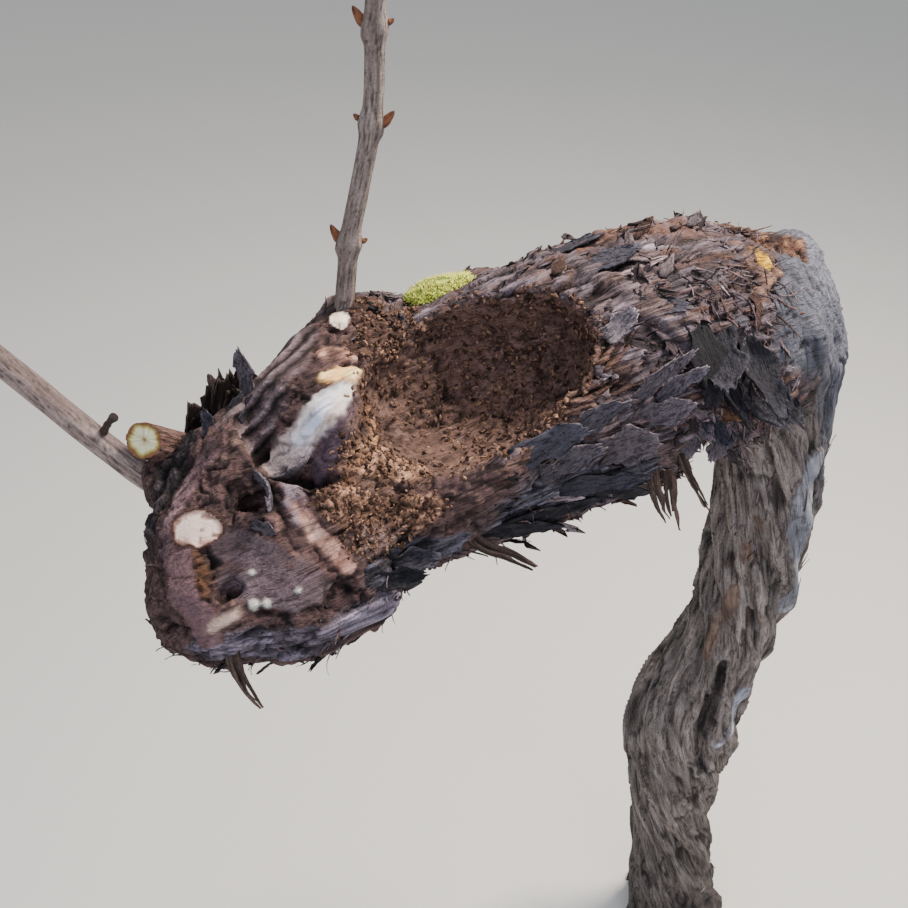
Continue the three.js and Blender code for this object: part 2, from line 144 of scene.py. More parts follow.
# Along the trunk: height, how far its middle stands to the side, radius
TRUNK_COURSE = np.array([
    [-30, 0, 50], [0, 0, 42], [60, -8, 34], [128, -16, 31], [193, -25, 33], [253, -28, 39], [290, -27, 38],
    [330, -17, 33], [375, -6, 30], [430, -3, 31], [480, -3, 31], [530, -7, 31], [575, -14, 34],
])
# Along the arm: share of its length, radius
ARM_GIRTH = np.array([[0, 50], [0.1, 61], [0.25, 66], [0.45, 65], [0.62, 60], [0.74, 55], [0.87, 50], [1, 42]])
# Swellings: how softly each joins, and its round stations [x, y, z, radius]
LOBES = [
    (5, [[8, -8, 345, 7], [4, -12, 290, 8], [2, -10, 224, 7]]),  # the dead strand up the trunk's right side
    (14, [[-10, 34, 631, 18], [-7, 12, 600, 22], [-7, -7, 565, 18]]),  # the crown's flank
    # the head's ridge
    (10, [[-247, -69, 649, 17], [-258, -93, 641, 22], [-269, -118, 632, 26], [-290, -144, 618, 26]]),
    (10, [[-305, -165, 604, 25], [-303, -183, 588, 26]]),  # the stub under the round cut
    (12, [[-297, -183, 579, 24], [-265, -178, 581, 28], [-244, -169, 583, 24]]),  # the head's lower lip
    (10, [[-299, -133, 616, 24], [-325, -136, 611, 14]]),  # the neck that carries the side cane
    (12, [[-240, -57, 645, 16], [-220, -53, 631, 24], [-190, -31, 632, 24]]),  # the scoop's back rim
    (5, [[-58, -40, 588, 14], [-58, -69, 583, 9]]),  # a lost branch
    (4, [[-84, -66, 652, 6], [-88, -84, 640, 7], [-86, -92, 622, 6]]),  # the ear-like fold of bark on the crown
    (6, [[-17, -36, 628, 9], [-12, -34, 618, 9]]),  # a knot
]
# Saw cuts: a point of the face, the way it looks, how far the saw reached
CUTS = {
    "long": ([-258, -137, 650], [-0.36, -0.72, 0.59], 34),
    "round": ([-304, -180, 625], [-0.3, -0.55, 0.78], 20),
    "left": ([-297, -207, 606], [-0.4, -0.88, 0.25], 26),
    "lip": ([-257, -201, 600], [0.1, -0.93, 0.35], 55),
    "oval": ([-250.5, -85.5, 662.5], [-0.12, -0.8, 0.59], 7.5),
}
# Hollows: how sharp the rim is, and the stations of what is missing
HOLLOWS = [
    (8, [[-204, -119, 647, 35], [-187, -107, 649, 37], [-161, -94, 653, 26]]),  # the scoop
    (12, [[-219, -145, 649, 22], [-222, -176, 632, 21]]),  # its open front lip
    (5, [[-52, 12, 664, 13], [-38, 6, 660, 15], [-20, 14, 658, 13]]),  # rot in the crown's top
    (3, [[-283, -170, 633, 8], [-281, -166, 624, 6]]),  # rot hole in the head
    (2, [[-291, -201, 607, 4.5], [-288, -196, 604, 4]]),  # square hole under the left cut
    (5, [[-243, -196, 597, 9], [-236, -190, 601, 6]]),  # recess in the lip
    (3, [[-8, -43, 589, 6.5], [-10, -34, 589, 5]]),  # dark hole on the crown's right
    (3, [[-76, -66, 660, 3], [-77, -88, 644, 3.5], [-77, -95, 622, 3]]),  # crease beside the ear fold
    (3, [[-17, -30, 356, 3], [-20, -33, 302, 4], [-19, -32, 256, 3]]),  # slit beside the dead strand
    (6, [[-77, -100, 596, 11], [-56, -29, 540, 12]]),  # where arm and trunk part
]
SCOOP, SCOOP_MOUTH = HOLLOWS[0][1], HOLLOWS[1][1]
SHEET_WIDTH = 8.5  # of the bark folded in sheets on the head
UP = np.array([0, 0, 1.0])
ARM_RUN = (ARM_END - ARM_START) * [1, 1, 0]
ARM_LENGTH = np.linalg.norm(ARM_RUN)
ARM_DIRECTION = ARM_RUN / ARM_LENGTH
ARM_SIDE = np.cross(ARM_DIRECTION, UP)


def unit(v):
    """Directions scaled to length 1."""
    return v / np.maximum(np.linalg.norm(v, axis=-1, keepdims=True), 1e-9)


def on_wood(direction, facing):
    """Directions laid into the wood's surface: what points out of it is taken away."""
    return unit(direction - np.sum(direction * facing, -1, keepdims=True) * facing)


def soft_min(a, b, soft):
    """The smaller of two distances, rounded off where they differ by less than soft."""
    overlap = np.maximum(soft - np.abs(a - b), 0) / soft
    return np.minimum(a, b) - overlap**2 * soft / 4


def soft_max(a, b, soft):
    """The larger of two distances, rounded off in the same way."""
    return -soft_min(-a, -b, soft)


def turns(count):
    """Evenly spaced angles, once round."""
    return np.linspace(0, 2 * np.pi, count, endpoint=False)


def ease(x, low, high):
    """0 below low, 1 above high, and a smooth step between them. Low may be the larger."""
    t = np.clip((x - low) / (high - low), 0, 1)
    return t * t * (3 - 2 * t)


def table_curve(rows, column, x):
    """The smooth curve through a table's points: a cubic on each stretch, with slopes from the neighbours."""
    at, value = rows[:, 0], rows[:, column]
    slope = np.concatenate([
        [(value[1] - value[0]) / (at[1] - at[0])],
        (value[2:] - value[:-2]) / (at[2:] - at[:-2]),
        [(value[-1] - value[-2]) / (at[-1] - at[-2])],
    ])
    i = np.clip(np.searchsorted(at, x, side="right") - 1, 0, len(at) - 2)
    width = at[i + 1] - at[i]
    t = np.clip((x - at[i]) / width, 0, 1)
    e = t * t * (3 - 2 * t)
    bend = slope[i] * width * t * (1 - t) ** 2 + slope[i + 1] * width * t * t * (t - 1)
    return value[i] * (1 - e) + value[i + 1] * e + bend


def arm_middle(share):
    """The arm's bowed middle line: straight from start to end, plus half a sine wave up and to the side."""
    share = np.asarray(share, float)[..., None]
    bow = np.sin(np.pi * np.clip(share, 0, 1))
    rise = UP * ((ARM_END[2] - ARM_START[2]) * share + ARM_BOW["up"] * bow)
    return ARM_START + ARM_RUN * share + rise + ARM_SIDE * (ARM_BOW["side"] * bow)


def chain(p, stations):
    """Distance to round stations joined in a row: to the nearest point of each line, less the radius there."""
    nearest = np.full(p.shape[:-1], np.inf)
    stations = np.asarray(stations, float)
    for start, end in zip(stations[:-1], stations[1:]):
        line = end[:3] - start[:3]
        share = np.clip((p - start[:3]) @ line / (line @ line), 0, 1)
        gap = np.linalg.norm(p - start[:3] - share[..., None] * line, axis=-1)
        nearest = np.minimum(nearest, gap - start[3] - share * (end[3] - start[3]))
    return nearest


ARM_STATIONS = np.linspace(0, 1, 15)
ARM_CHAIN = np.column_stack([arm_middle(ARM_STATIONS), table_curve(ARM_GIRTH, 1, ARM_STATIONS)])


TWIST = 420  # mm of height in which the trunk's ribs turn once
RIB, ROOT_FLARE = 2.4, 5  # how far they stand out in mm


def trunk_distance(p):
    """Round at each height about its course, with twisting ribs from a wave of eight and a weaker one of five,
    and five root swellings at the foot."""
    top = TRUNK_COURSE[-1, 0]
    height = np.minimum(p[..., 2], top)
    middle = table_curve(TRUNK_COURSE, 1, height)
    angle = np.arctan2(p[..., 1], p[..., 0] - middle)
    turned = angle + 2 * np.pi * height / TWIST
    fade = np.clip((CROWN_UNDERSIDE + 20 - p[..., 2]) / 60, 0, 1)
    rib = RIB * fade * (np.sin(8 * turned + np.sin(height / 60)) + 0.5 * np.sin(5 * turned + height / 90))
    flare = ROOT_FLARE * np.clip(1 - height / 60, 0, 1) ** 2 * np.cos(5 * angle + 1)
    side = np.hypot(p[..., 0] - middle, p[..., 1]) - table_curve(TRUNK_COURSE, 2, height) - rib - flare
    return soft_max(side, p[..., 2] - top - 25, 10)


def cut_face(p, cut):
    """How far points lie in front of a cut's face, and how far from its middle."""
    at, faces, reach = cut
    q = p - np.array(at, float)
    return q @ unit(np.array(faces)), np.linalg.norm(q, axis=-1)


def old_wood(p):
    """Trunk and arm softly joined, swellings added, then what saws and rot have taken subtracted."""
    d = soft_min(trunk_distance(p), chain(p, ARM_CHAIN), 18)
    for soft, stations in LOBES:
        d = soft_min(d, chain(p, stations), soft)
    for cut in CUTS.values():
        front, away = cut_face(p, cut)
        d = soft_max(d, -soft_max(-front, away - cut[2], 3), 1.5)
    for soft, stations in HOLLOWS:
        d = soft_max(d, -chain(p, stations), soft)
    return d


def settled(points):
    """Points moved onto the old wood's surface, the way the wood faces there, and how far off they had been.
    The slope comes from the distances at four corners of a small cube around each point."""
    corners = 0.4 * np.array([[1, 1, 1], [1, -1, -1], [-1, 1, -1], [-1, -1, 1.0]])
    distances = np.stack([old_wood(points + corner) for corner in corners], -1)
    facing = unit(distances @ corners)
    off = distances.mean(-1)
    return points - facing * (np.clip(off, -1.5, 1.5) * (np.abs(off) < 4))[:, None], facing, np.abs(off)


def skin(distance, low, high, step):
    """The surface where distance is 0, as square faces. Space is divided into cubes. A cube whose corners lie
    on both sides gets one point, the mean of where its edges cross. Each crossed edge joins its four cubes.
    Distances are worked out at every fourth corner first, and at all corners only near the surface."""
    counts = 4 * np.ceil((np.subtract(high, low)) / (4 * step)).astype(int) + 1
    axes = [low[i] + step * np.arange(counts[i]) for i in range(3)]
    grid = np.stack(np.meshgrid(*(axis[::4] for axis in axes), indexing="ij"), -1)
    nearest = [np.rint(np.arange(n) / 4).astype(int) for n in counts]
    value = distance(grid)[np.ix_(*nearest)]
    close = np.nonzero(np.abs(value) < 4 * step)
    value[close] = distance(np.stack([axes[i][close[i]] for i in range(3)], -1))
    value = value.astype(np.float32)

    corners = [(i, j, k) for i in (0, 1) for j in (0, 1) for k in (0, 1)]
    cube = counts - 1
    within = (value < 0).astype(np.int8)
    inside = sum(within[i : i + cube[0], j : j + cube[1], k : k + cube[2]] for i, j, k in corners)
    crossed = np.stack(np.nonzero((inside > 0) & (inside < 8)), -1)
    at_corner = np.stack([value[tuple((crossed + c).T)] for c in corners], -1)
    total, number = np.zeros((len(crossed), 3)), np.zeros((len(crossed), 1))
    for a in range(8):
        for b in range(a + 1, 8):
            if sum(abs(np.subtract(corners[a], corners[b]))) == 1:
                va, vb = at_corner[:, a], at_corner[:, b]
                crosses = ((va < 0) != (vb < 0))[:, None]
                share = (va / np.where(va == vb, 1, va - vb))[:, None]
                total += crosses * (np.array(corners[a]) + share * np.subtract(corners[b], corners[a]))
                number += crosses
    points = np.array(low) + step * (crossed + total / number)

    index = np.full(cube, -1)
    index[tuple(crossed.T)] = np.arange(len(crossed))
    faces = []
    for axis in range(3):
        one, two = (axis + 1) % 3, (axis + 2) % 3
        first, second = [slice(None)] * 3, [slice(None)] * 3
        first[axis], second[axis] = slice(None, -1), slice(1, None)
        here, there = value[tuple(first)] < 0, value[tuple(second)] < 0
        edge = np.stack(np.nonzero(here != there), -1)
        inner = [(edge[:, side] > 0) & (edge[:, side] < cube[side]) for side in (one, two)]
        edge = edge[inner[0] & inner[1]]
        ring = []
        for back_one, back_two in ((0, 0), (1, 0), (1, 1), (0, 1)):
            cell = edge.copy()
            cell[:, one] -= back_one
            cell[:, two] -= back_two
            ring.append(index[tuple(cell.T)])
        ring = np.stack(ring, -1)
        leaving = here[tuple(edge.T)][:, None]
        faces.append(np.where(leaving, ring, ring[:, ::-1]))
    return points, np.concatenate(faces)


def dice(cell, salt=0):
    """A random share from 0 to 1 for each whole-numbered cell: what is left over of a large sine."""
    large = np.sin(cell @ np.array([12.9898, 78.233, 37.719]) + 4.1 * salt) * 43758.5453
    return large - np.floor(large)


def lumps(q, salt=0):
    """Smooth noise from -1 to 1: whole-numbered points get random values, eased between the eight around q."""
    base = np.floor(q)
    t = ease(q - base, 0, 1)
    total = np.zeros(q.shape[:-1])
    for corner in np.ndindex(2, 2, 2):
        weight = np.prod(np.where(np.array(corner) == 1, t, 1 - t), -1)
        total += weight * dice(base + corner, salt)
    return 2 * total - 1


def plates(q, salt=0):
    """Cells around scattered points, one in each unit cube. Gives a random share for the cell that holds q,
    how far q is from the cell's border, and where it lies from the cell's point."""
    base = np.floor(q)
    first = np.full(q.shape[:-1], 9.0)
    second, share, from_point = first.copy(), np.zeros_like(first), np.zeros_like(q)
    for step in np.ndindex(3, 3, 3):
        cell = base + step - 1
        offset = q - cell - np.stack([dice(cell, salt + i) for i in (1, 2, 3)], -1)
        away = np.sum(offset**2, -1)
        closer = away < first
        second = np.where(closer, first, np.minimum(second, away))
        share = np.where(closer, dice(cell, salt), share)
        from_point = np.where(closer[..., None], offset, from_point)
        first = np.minimum(first, away)
    return share, np.sqrt(second) - np.sqrt(first), from_point


def mix(a, b, share):
    """From a to b by a share at each point."""
    return a + (b - a) * np.asarray(share)[..., None]


def ramp(colours, share):
    """A colour between evenly spaced hex colours, by a share from 0 to 1 at each point."""
    stops = np.stack([linear(colour) for colour in colours.split()])
    return np.stack([np.interp(share, np.linspace(0, 1, len(stops)), stops[:, i]) for i in range(3)], -1)


def grain(p):
    """Where a point lies in the limb's own axes, two across its grain and one along it: in the trunk's, which
    follow its course and twist half as fast as its ribs, and in the arm's, which follow its middle. Then how
    much it belongs to the arm, because the crown runs from one to the other."""
    height = p[..., 2]
    turn = np.pi * height / TWIST
    x, y = p[..., 0] - table_curve(TRUNK_COURSE, 1, np.minimum(height, TRUNK_COURSE[-1, 0])), p[..., 1]
    trunk = np.stack([x * np.cos(turn) - y * np.sin(turn), x * np.sin(turn) + y * np.cos(turn), height], -1)
    along = (p - ARM_START) @ ARM_DIRECTION
    q = p - arm_middle(along / ARM_LENGTH)
    arm = np.stack([q @ ARM_SIDE, q[..., 2], along + 600], -1)
    belongs = ease(trunk_distance(p) - chain(p, ARM_CHAIN), -10, 14)
    return trunk, arm, belongs


def sway(q, size, amount, salt):
    """Lets straight grain wander: its two crosswise places shift by smooth noise of the given size."""
    return q + amount * np.stack([lumps(q / size, salt), lumps(q / size, salt + 1), np.zeros(len(q))], -1)


def strands(q, colours):
    """Stringy bark: flat strips 7 mm wide that lie at different heights, ridged along the grain every 4 mm,
    with fine fibres on them and cracks here and there. Cracks and the strips' borders are darkened as painted
    shade."""
    q = sway(q, [18, 18, 45], 4, 41)
    wide, border, lean = plates(q / [7, 7, 70], 1)
    thread, fibre = lumps(q / [2.7, 2.7, 36], 11), lumps(q / [2.5, 2.5, 13], 5)
    ridge = 1 - 2.4 * np.abs(lumps(q / [4.6, 4.6, 42], 12))
    crack = 1 - ease(np.abs(lumps(q / [5.5, 5.5, 34], 13) + 0.3 * fibre), 0.03, 0.24)
    crack = crack * ease(lumps(q / [12, 12, 30], 14), -0.25, 0.25)
    relief = 2.2 * (wide - 0.5) + 1.8 * lean[:, 0] * (wide - 0.5) + 1.1 * ridge + 0.8 * thread + 0.35 * fibre
    relief += 1.3 * lumps(q / [13, 13, 50], 42) - 1.7 * crack - 0.6
    colour = ramp(colours, 0.5 + 0.3 * thread + 0.35 * (wide - 0.5)) * (1 + 0.16 * fibre)[:, None]
    deep = np.maximum(0.75 * crack, 0.35 * (1 - ease(border, 0, 0.2)))
    return relief, mix(colour, linear("1f1815"), deep)


def layers(q, colours):
    """Dead bark in layers: long plates 5 mm wide that overlap like shingles, with fine lines along them. Plate
    borders and the lines are darkened as painted shade.
    """
    q = sway(q, [22, 22, 60], 5, 47)
    wide, border, lean = plates(q / [5.5, 5.5, 48], 21)
    thin, split, slip = plates(q / [2.8, 2.8, 26], 31)
    fibre = lumps(q / [2.3, 2.3, 14], 8)
    slant = thin * 57 % 1 - 0.5
    relief = (2.8 + 3.2 * lean[:, 0]) * (wide - 0.5) + 1.1 * (thin - 0.5) + 1.2 * slip[:, 2] * slant
    colour = ramp(colours, 0.5 * wide + 0.5 * thin) * (1 + 0.3 * fibre)[:, None]
    deep = np.maximum(1 - ease(border, 0, 0.26), 0.5 * (1 - ease(split, 0, 0.4)))
    return relief + 0.4 * fibre - 1.0 * deep - 0.2, mix(colour, linear("15100f"), 0.75 * deep)


def flaked(q, colours):
    """Flaking bark: plates 8 mm wide and 30 mm long that tilt out of line and step over each other, split into
    flakes of 3 mm by 15 mm, with open cracks here and there. Cracks and the splits between flakes get painted
    shade."""
    q = sway(q, [24, 24, 34], 7, 43)
    wide, border, lean = plates(q / [8, 8, 30], 21)
    thin, split, slip = plates(q / [3.2, 3.2, 15], 31)
    fibre = lumps(q / [2.3, 2.3, 10], 8)
    tilt, slant = wide * 57 % 1 - 0.5, thin * 57 % 1 - 0.5
    cracked = ease(lumps(q / [16, 16, 30], 45), -0.2, 0.4)
    relief = 3.2 * (wide - 0.5) + 4.5 * lean[:, 0] * (wide - 0.5) + 4.0 * lean[:, 2] * tilt
    relief += 1.6 * (thin - 0.5) + 1.8 * slip[:, 2] * slant + 0.8 * slip[:, 1] * slant + 0.4 * fibre
    deep = cracked * (1 - ease(border, 0, 0.22))
    colour = ramp(colours, 0.4 * wide + 0.6 * thin) * (1 + 0.35 * fibre)[:, None]
    shade = np.maximum(deep, 0.5 * (1 - ease(split, 0, 0.35)))
    return relief - 2.2 * deep - 0.2, mix(colour, linear("140e0d"), 0.85 * shade)


def smooth_wood(q, colours, fine, salt):
    """Old wood that has lost its bark: low swellings, fine splits along the grain, and colours that drift. The
    splits are darkened as painted shade.
    """
    swell = lumps(q / [13, 13, 26], salt) + 0.5 * lumps(q / [5, 5, 12], salt + 1)
    fibre = lumps(q / [2.4, 2.4, 16], salt + 2)
    deep = 1 - ease(np.abs(lumps(q / [6, 6, 40], salt + 3)), 0.02, 0.14)
    deep = deep * ease(swell, -0.6, 0.1)
    relief = 0.9 * swell + fine * fibre - 0.6 * deep
    colour = ramp(colours, 0.5 + 0.38 * swell + 0.16 * fibre)
    return relief, mix(colour, linear("1c1210"), 0.55 * deep)


def crumbled(q, colours, salt):
    """Rotten wood: crumbs of 2 to 7 mm in loose heaps, with painted shade dark between them."""
    coarse, middling = lumps(q / [7, 7, 10], salt), lumps(q / [3.6, 3.6, 5], salt + 1)
    fine = lumps(q / 2.2, salt + 2)
    gap = 1 - ease(np.abs(lumps(q / [4, 4, 7], salt + 4) + 0.4 * fine), 0.02, 0.3)
    gap = gap * ease(coarse, 0.5, -0.3)
    relief = 1.6 * coarse + 1.2 * middling + 0.8 * fine - 1.4 * gap
    colour = ramp(colours, 0.5 + 0.3 * coarse + 0.26 * middling + 0.22 * fine)
    return relief, mix(colour, linear("180e0a"), 0.75 * gap)


# Tones of the kinds of bark and bare wood, from dark to light
TRUNK_TONES = "4a4442 635b58 766e6b 857d7a 6c6059 97918e"
ARM_TONES = "262226 494148 655a63 553e38 746974 64473a 978b96"
RUST_TONES = "261c1a 4a3530 66493f 42302e 7e5f54 5f4f50"
SKIRT_TONES = "333238 57555f 727080 44434c 8a8897 a2a1b0"
SILVER_TONES = "3f4049 62646f 787a88 585a66 8c8e9c"
HEAD_TONES = "1a1213 362727 483636 5a4442 3e2f30 70594f"
# Patches on the head and crown, laid over each other in this order: how the wood is broken up there, how far
# the patch stands out, how smooth it is, its colours, and its round stations
PATCHES = [
    ("layers", 0.5, 0.0, "151113 2a2427 403739 574c50",
     [[-304, -128, 634, 8], [-318, -142, 624, 12], [-322, -160, 618, 11], [-316, -176, 606, 10]]),
    ("crumbled", 0.6, 0.0, "1e1412 3f2c27 574038 6f5246",
     [[-238, -73, 664, 9], [-230, -79, 656, 9], [-241, -98, 657, 7], [-228, -94, 653, 6], [-223, -71, 657, 8]]),
    ("crumbled", 0.8, 0.0, "20150f 4c362d 755747 a8836c 5b4237",
     [[-242, -150, 638, 8], [-231, -140, 626, 10], [-217, -142, 620, 9]]),
    ("crumbled", 0.8, 0.0, "1d1412 46322a 6e5143 a07a64 443029",
     [[-248, -168, 627, 8], [-235, -166, 616, 9], [-220, -163, 613, 9], [-208, -158, 615, 6]]),
    ("crumbled", 0.4, 0.0, "1c1514 433230 64504c 86706a",
     [[-238, -175, 610, 8], [-224, -169, 607, 8]]),
    ("layers", 0.5, 0.0, "222026 3f3d47 585663 706e7c",
     [[-229, -181, 598, 8], [-219, -172, 595, 10], [-209, -163, 592, 10], [-200, -156, 590, 9]]),
    ("layers", 0.3, 0.0, "2f2a31 564e58 6d636f 8a8092 443d47",
     [[-300, -209, 583, 7], [-286, -209, 582, 9], [-270, -207, 579, 10], [-254, -204, 580, 9],
      [-240, -196, 580, 9], [-228, -186, 583, 9]]),
    ("smooth", 0.0, 0.2, "2b2123 43363a 53454a 62535a 3a2e32",
     [[-292, -184, 619, 7], [-280, -186, 615, 9], [-268, -190, 609, 9], [-256, -193, 602, 9],
      [-285, -194, 608, 9], [-265, -196, 602, 9]]),
    ("smooth", 0.2, 0.4, "3d2c2e 57434a 6b5256 5c464a 806668",
     [[-310, -188, 616, 7], [-306, -198, 608, 8], [-303, -205, 599, 7], [-298, -209, 590, 6]]),
    ("smooth", 0.7, 0.5, "7a5a50 bfa698 e2d2c6",
     [[-297, -208, 593, 2.6], [-291, -206, 597, 3], [-286, -204, 599, 2.4]]),
    ("crumbled", 0.8, 0.0, "2a1a12 523828 81593a",
     [[-303, -189, 617, 2], [-300, -195, 611, 2.8], [-298, -202, 606, 2.2]]),
    ("smooth", 0.8, 0.0, "2c2022 544046 745c60 9a8282",
     [[-300, -150, 642, 5], [-308, -161, 633, 5], [-314, -175, 626, 4.5], [-316, -186, 616, 4]]),
    # painted shade: the inside of the rot hole, nearly black
    ("crumbled", -1.5, 0.0, "0a0607 181113 2a1f21",
     [[-288, -170, 632, 5], [-281, -170, 632, 7], [-275, -173, 631, 4.5]]),
    ("smooth", 0.5, 0.3, "453a42 74656e 9a8b96 83757e",
     [[-268, -158, 634, 4], [-265, -171, 630, 4.5], [-261, -176, 624, 4]]),
    ("smooth", 0.4, 0.4, "5f4039 a2796c d8aea0 ecd0c4",
     [[-263, -173, 627, 3.4], [-254, -179, 617.5, 4], [-248, -181.5, 610.5, 4], [-241, -183.5, 604, 3.4]]),
    ("smooth", 0.0, 0.2, "4a3432 7c5d58 a8857e",
     [[-272, -178, 626, 2.6], [-267, -183, 618.5, 3], [-259, -186, 612, 3.2], [-250, -187, 606, 2.6]]),
    ("crumbled", -0.6, 0.0, "150e0f 302325 453437",
     [[-275, -150, 627, 4], [-268, -158, 627, 4], [-256, -160, 628, 5]]),
    # painted shade: the long cut's right half is coloured dark purple-brown, as it looks in shade
    ("smooth", -0.6, 0.4, "241a20 42333d 5d4b57 36282f",
     [[-240, -125, 651, 7], [-243, -138, 649, 7.5], [-246, -146, 645, 7], [-251, -150, 639, 6.5],
      [-256, -154, 632, 5]]),
    ("smooth", 0.2, 0.5, "6e5650 ab958f cdbcbc 94807c",
     [[-261, -141, 645, 7.5], [-266, -143, 639, 7.5], [-272, -145, 633, 7], [-277, -146, 627, 5]]),
    ("smooth", 0.3, 0.8, "9c8880 dccfca d4d2de f0e9e8 c4b2aa",
     [[-244, -124, 654, 5], [-251, -133, 653, 7], [-257, -139, 648, 7.5], [-263, -142, 642, 5.5]]),
    # painted highlight: a bluish-white reflection of the sky on the long cut's pale face
    ("smooth", 0.4, 0.9, "c2c6da e2e6f6",
     [[-252, -134, 652, 2.6], [-257, -139, 648, 3.4], [-262, -142, 643, 2.4]]),
    ("smooth", 0.2, 0.3, "6a463c a87c6e deb8ac",
     [[-257, -106, 660, 2.8], [-249, -105, 660, 3.8], [-243, -105.5, 658, 2.6]]),
    ("smooth", 1.6, 0.6, "c08850 eebc7c fae0b0",
     [[-254, -120, 656, 3.4], [-246, -117.5, 656.5, 5.4], [-237.5, -115.5, 652, 5.6], [-234.5, -113, 644, 3]]),
    ("crumbled", 1.2, 0.0, "4a3026 865f45 b88c68",
     [[-236.5, -112, 640, 2.6], [-235, -125, 632, 3], [-238, -146, 633, 2.6], [-244, -158, 629, 2]]),
]
SCOOP_SIDE = [*PATCHES[1:4], PATCHES[-1]]  # those beside the scoop, on the wood that is left around it
# Patches on the trunk and the crown's right side, in the same form
TRUNK_PATCHES = [
    ("smooth", 0.3, 0.2, "2c2e36 494c58 666a78", [[-63, -83, 594, 7]]),
    # painted shade in the slit beside the dead strand
    ("layers", -0.6, 0.0, "332d2d 4d4545 665c5b", [[-17, -29, 362, 4], [-20, -33, 305, 7], [-24, -37, 268, 5]]),
    ("smooth", 0.6, 0.4, "6a7080 a5aaba ccd0de", [[4, -25, 332, 4], [-2, -27, 300, 6], [-8, -30, 276, 4]]),
    ("smooth", 0.3, 0.4, "4a3d38 6e5c52 8c7668",
     [[-19, -26, 432, 4], [-24, -24, 398, 6], [-29, -24, 366, 3.5]]),
    ("smooth", 0.3, 0.4, "4a3d38 6e5c52 8c7668", [[-16, -30, 494, 3.5], [-19, -29, 462, 5]]),
    ("smooth", 0.5, 0.2, "54565d 7d8089 a4a6ae",
     [[12, -28, 536, 8], [8, -31, 505, 9], [16, -24, 455, 7], [20, -19, 405, 6]]),
]
# Bare saw cuts: the middle, the way the face looks, half its width and height in mm, and its colours
SAWN = [
    ([-303.5, -181, 623], (-0.3, -0.55, 0.78), (10.2, 7.4), "8a6258 d6b2a6 f0d8cc c4a096"),
    ([-250.3, -83.4, 664.4], (-0.12, -0.8, 0.59), (4.7, 5.0), "c8a890 f6e8d8 f2e0cc e2c6ae"),
]
# Pale spots of lichen on the head: the middle and radius of each
SPOTS = [
    [-279.7, -200.1, 599.3, 1.7], [-280.8, -191.4, 608.4, 1.3],
    [-275, -199.4, 599.1, 1.2], [-262, -196, 603, 0.6],
]


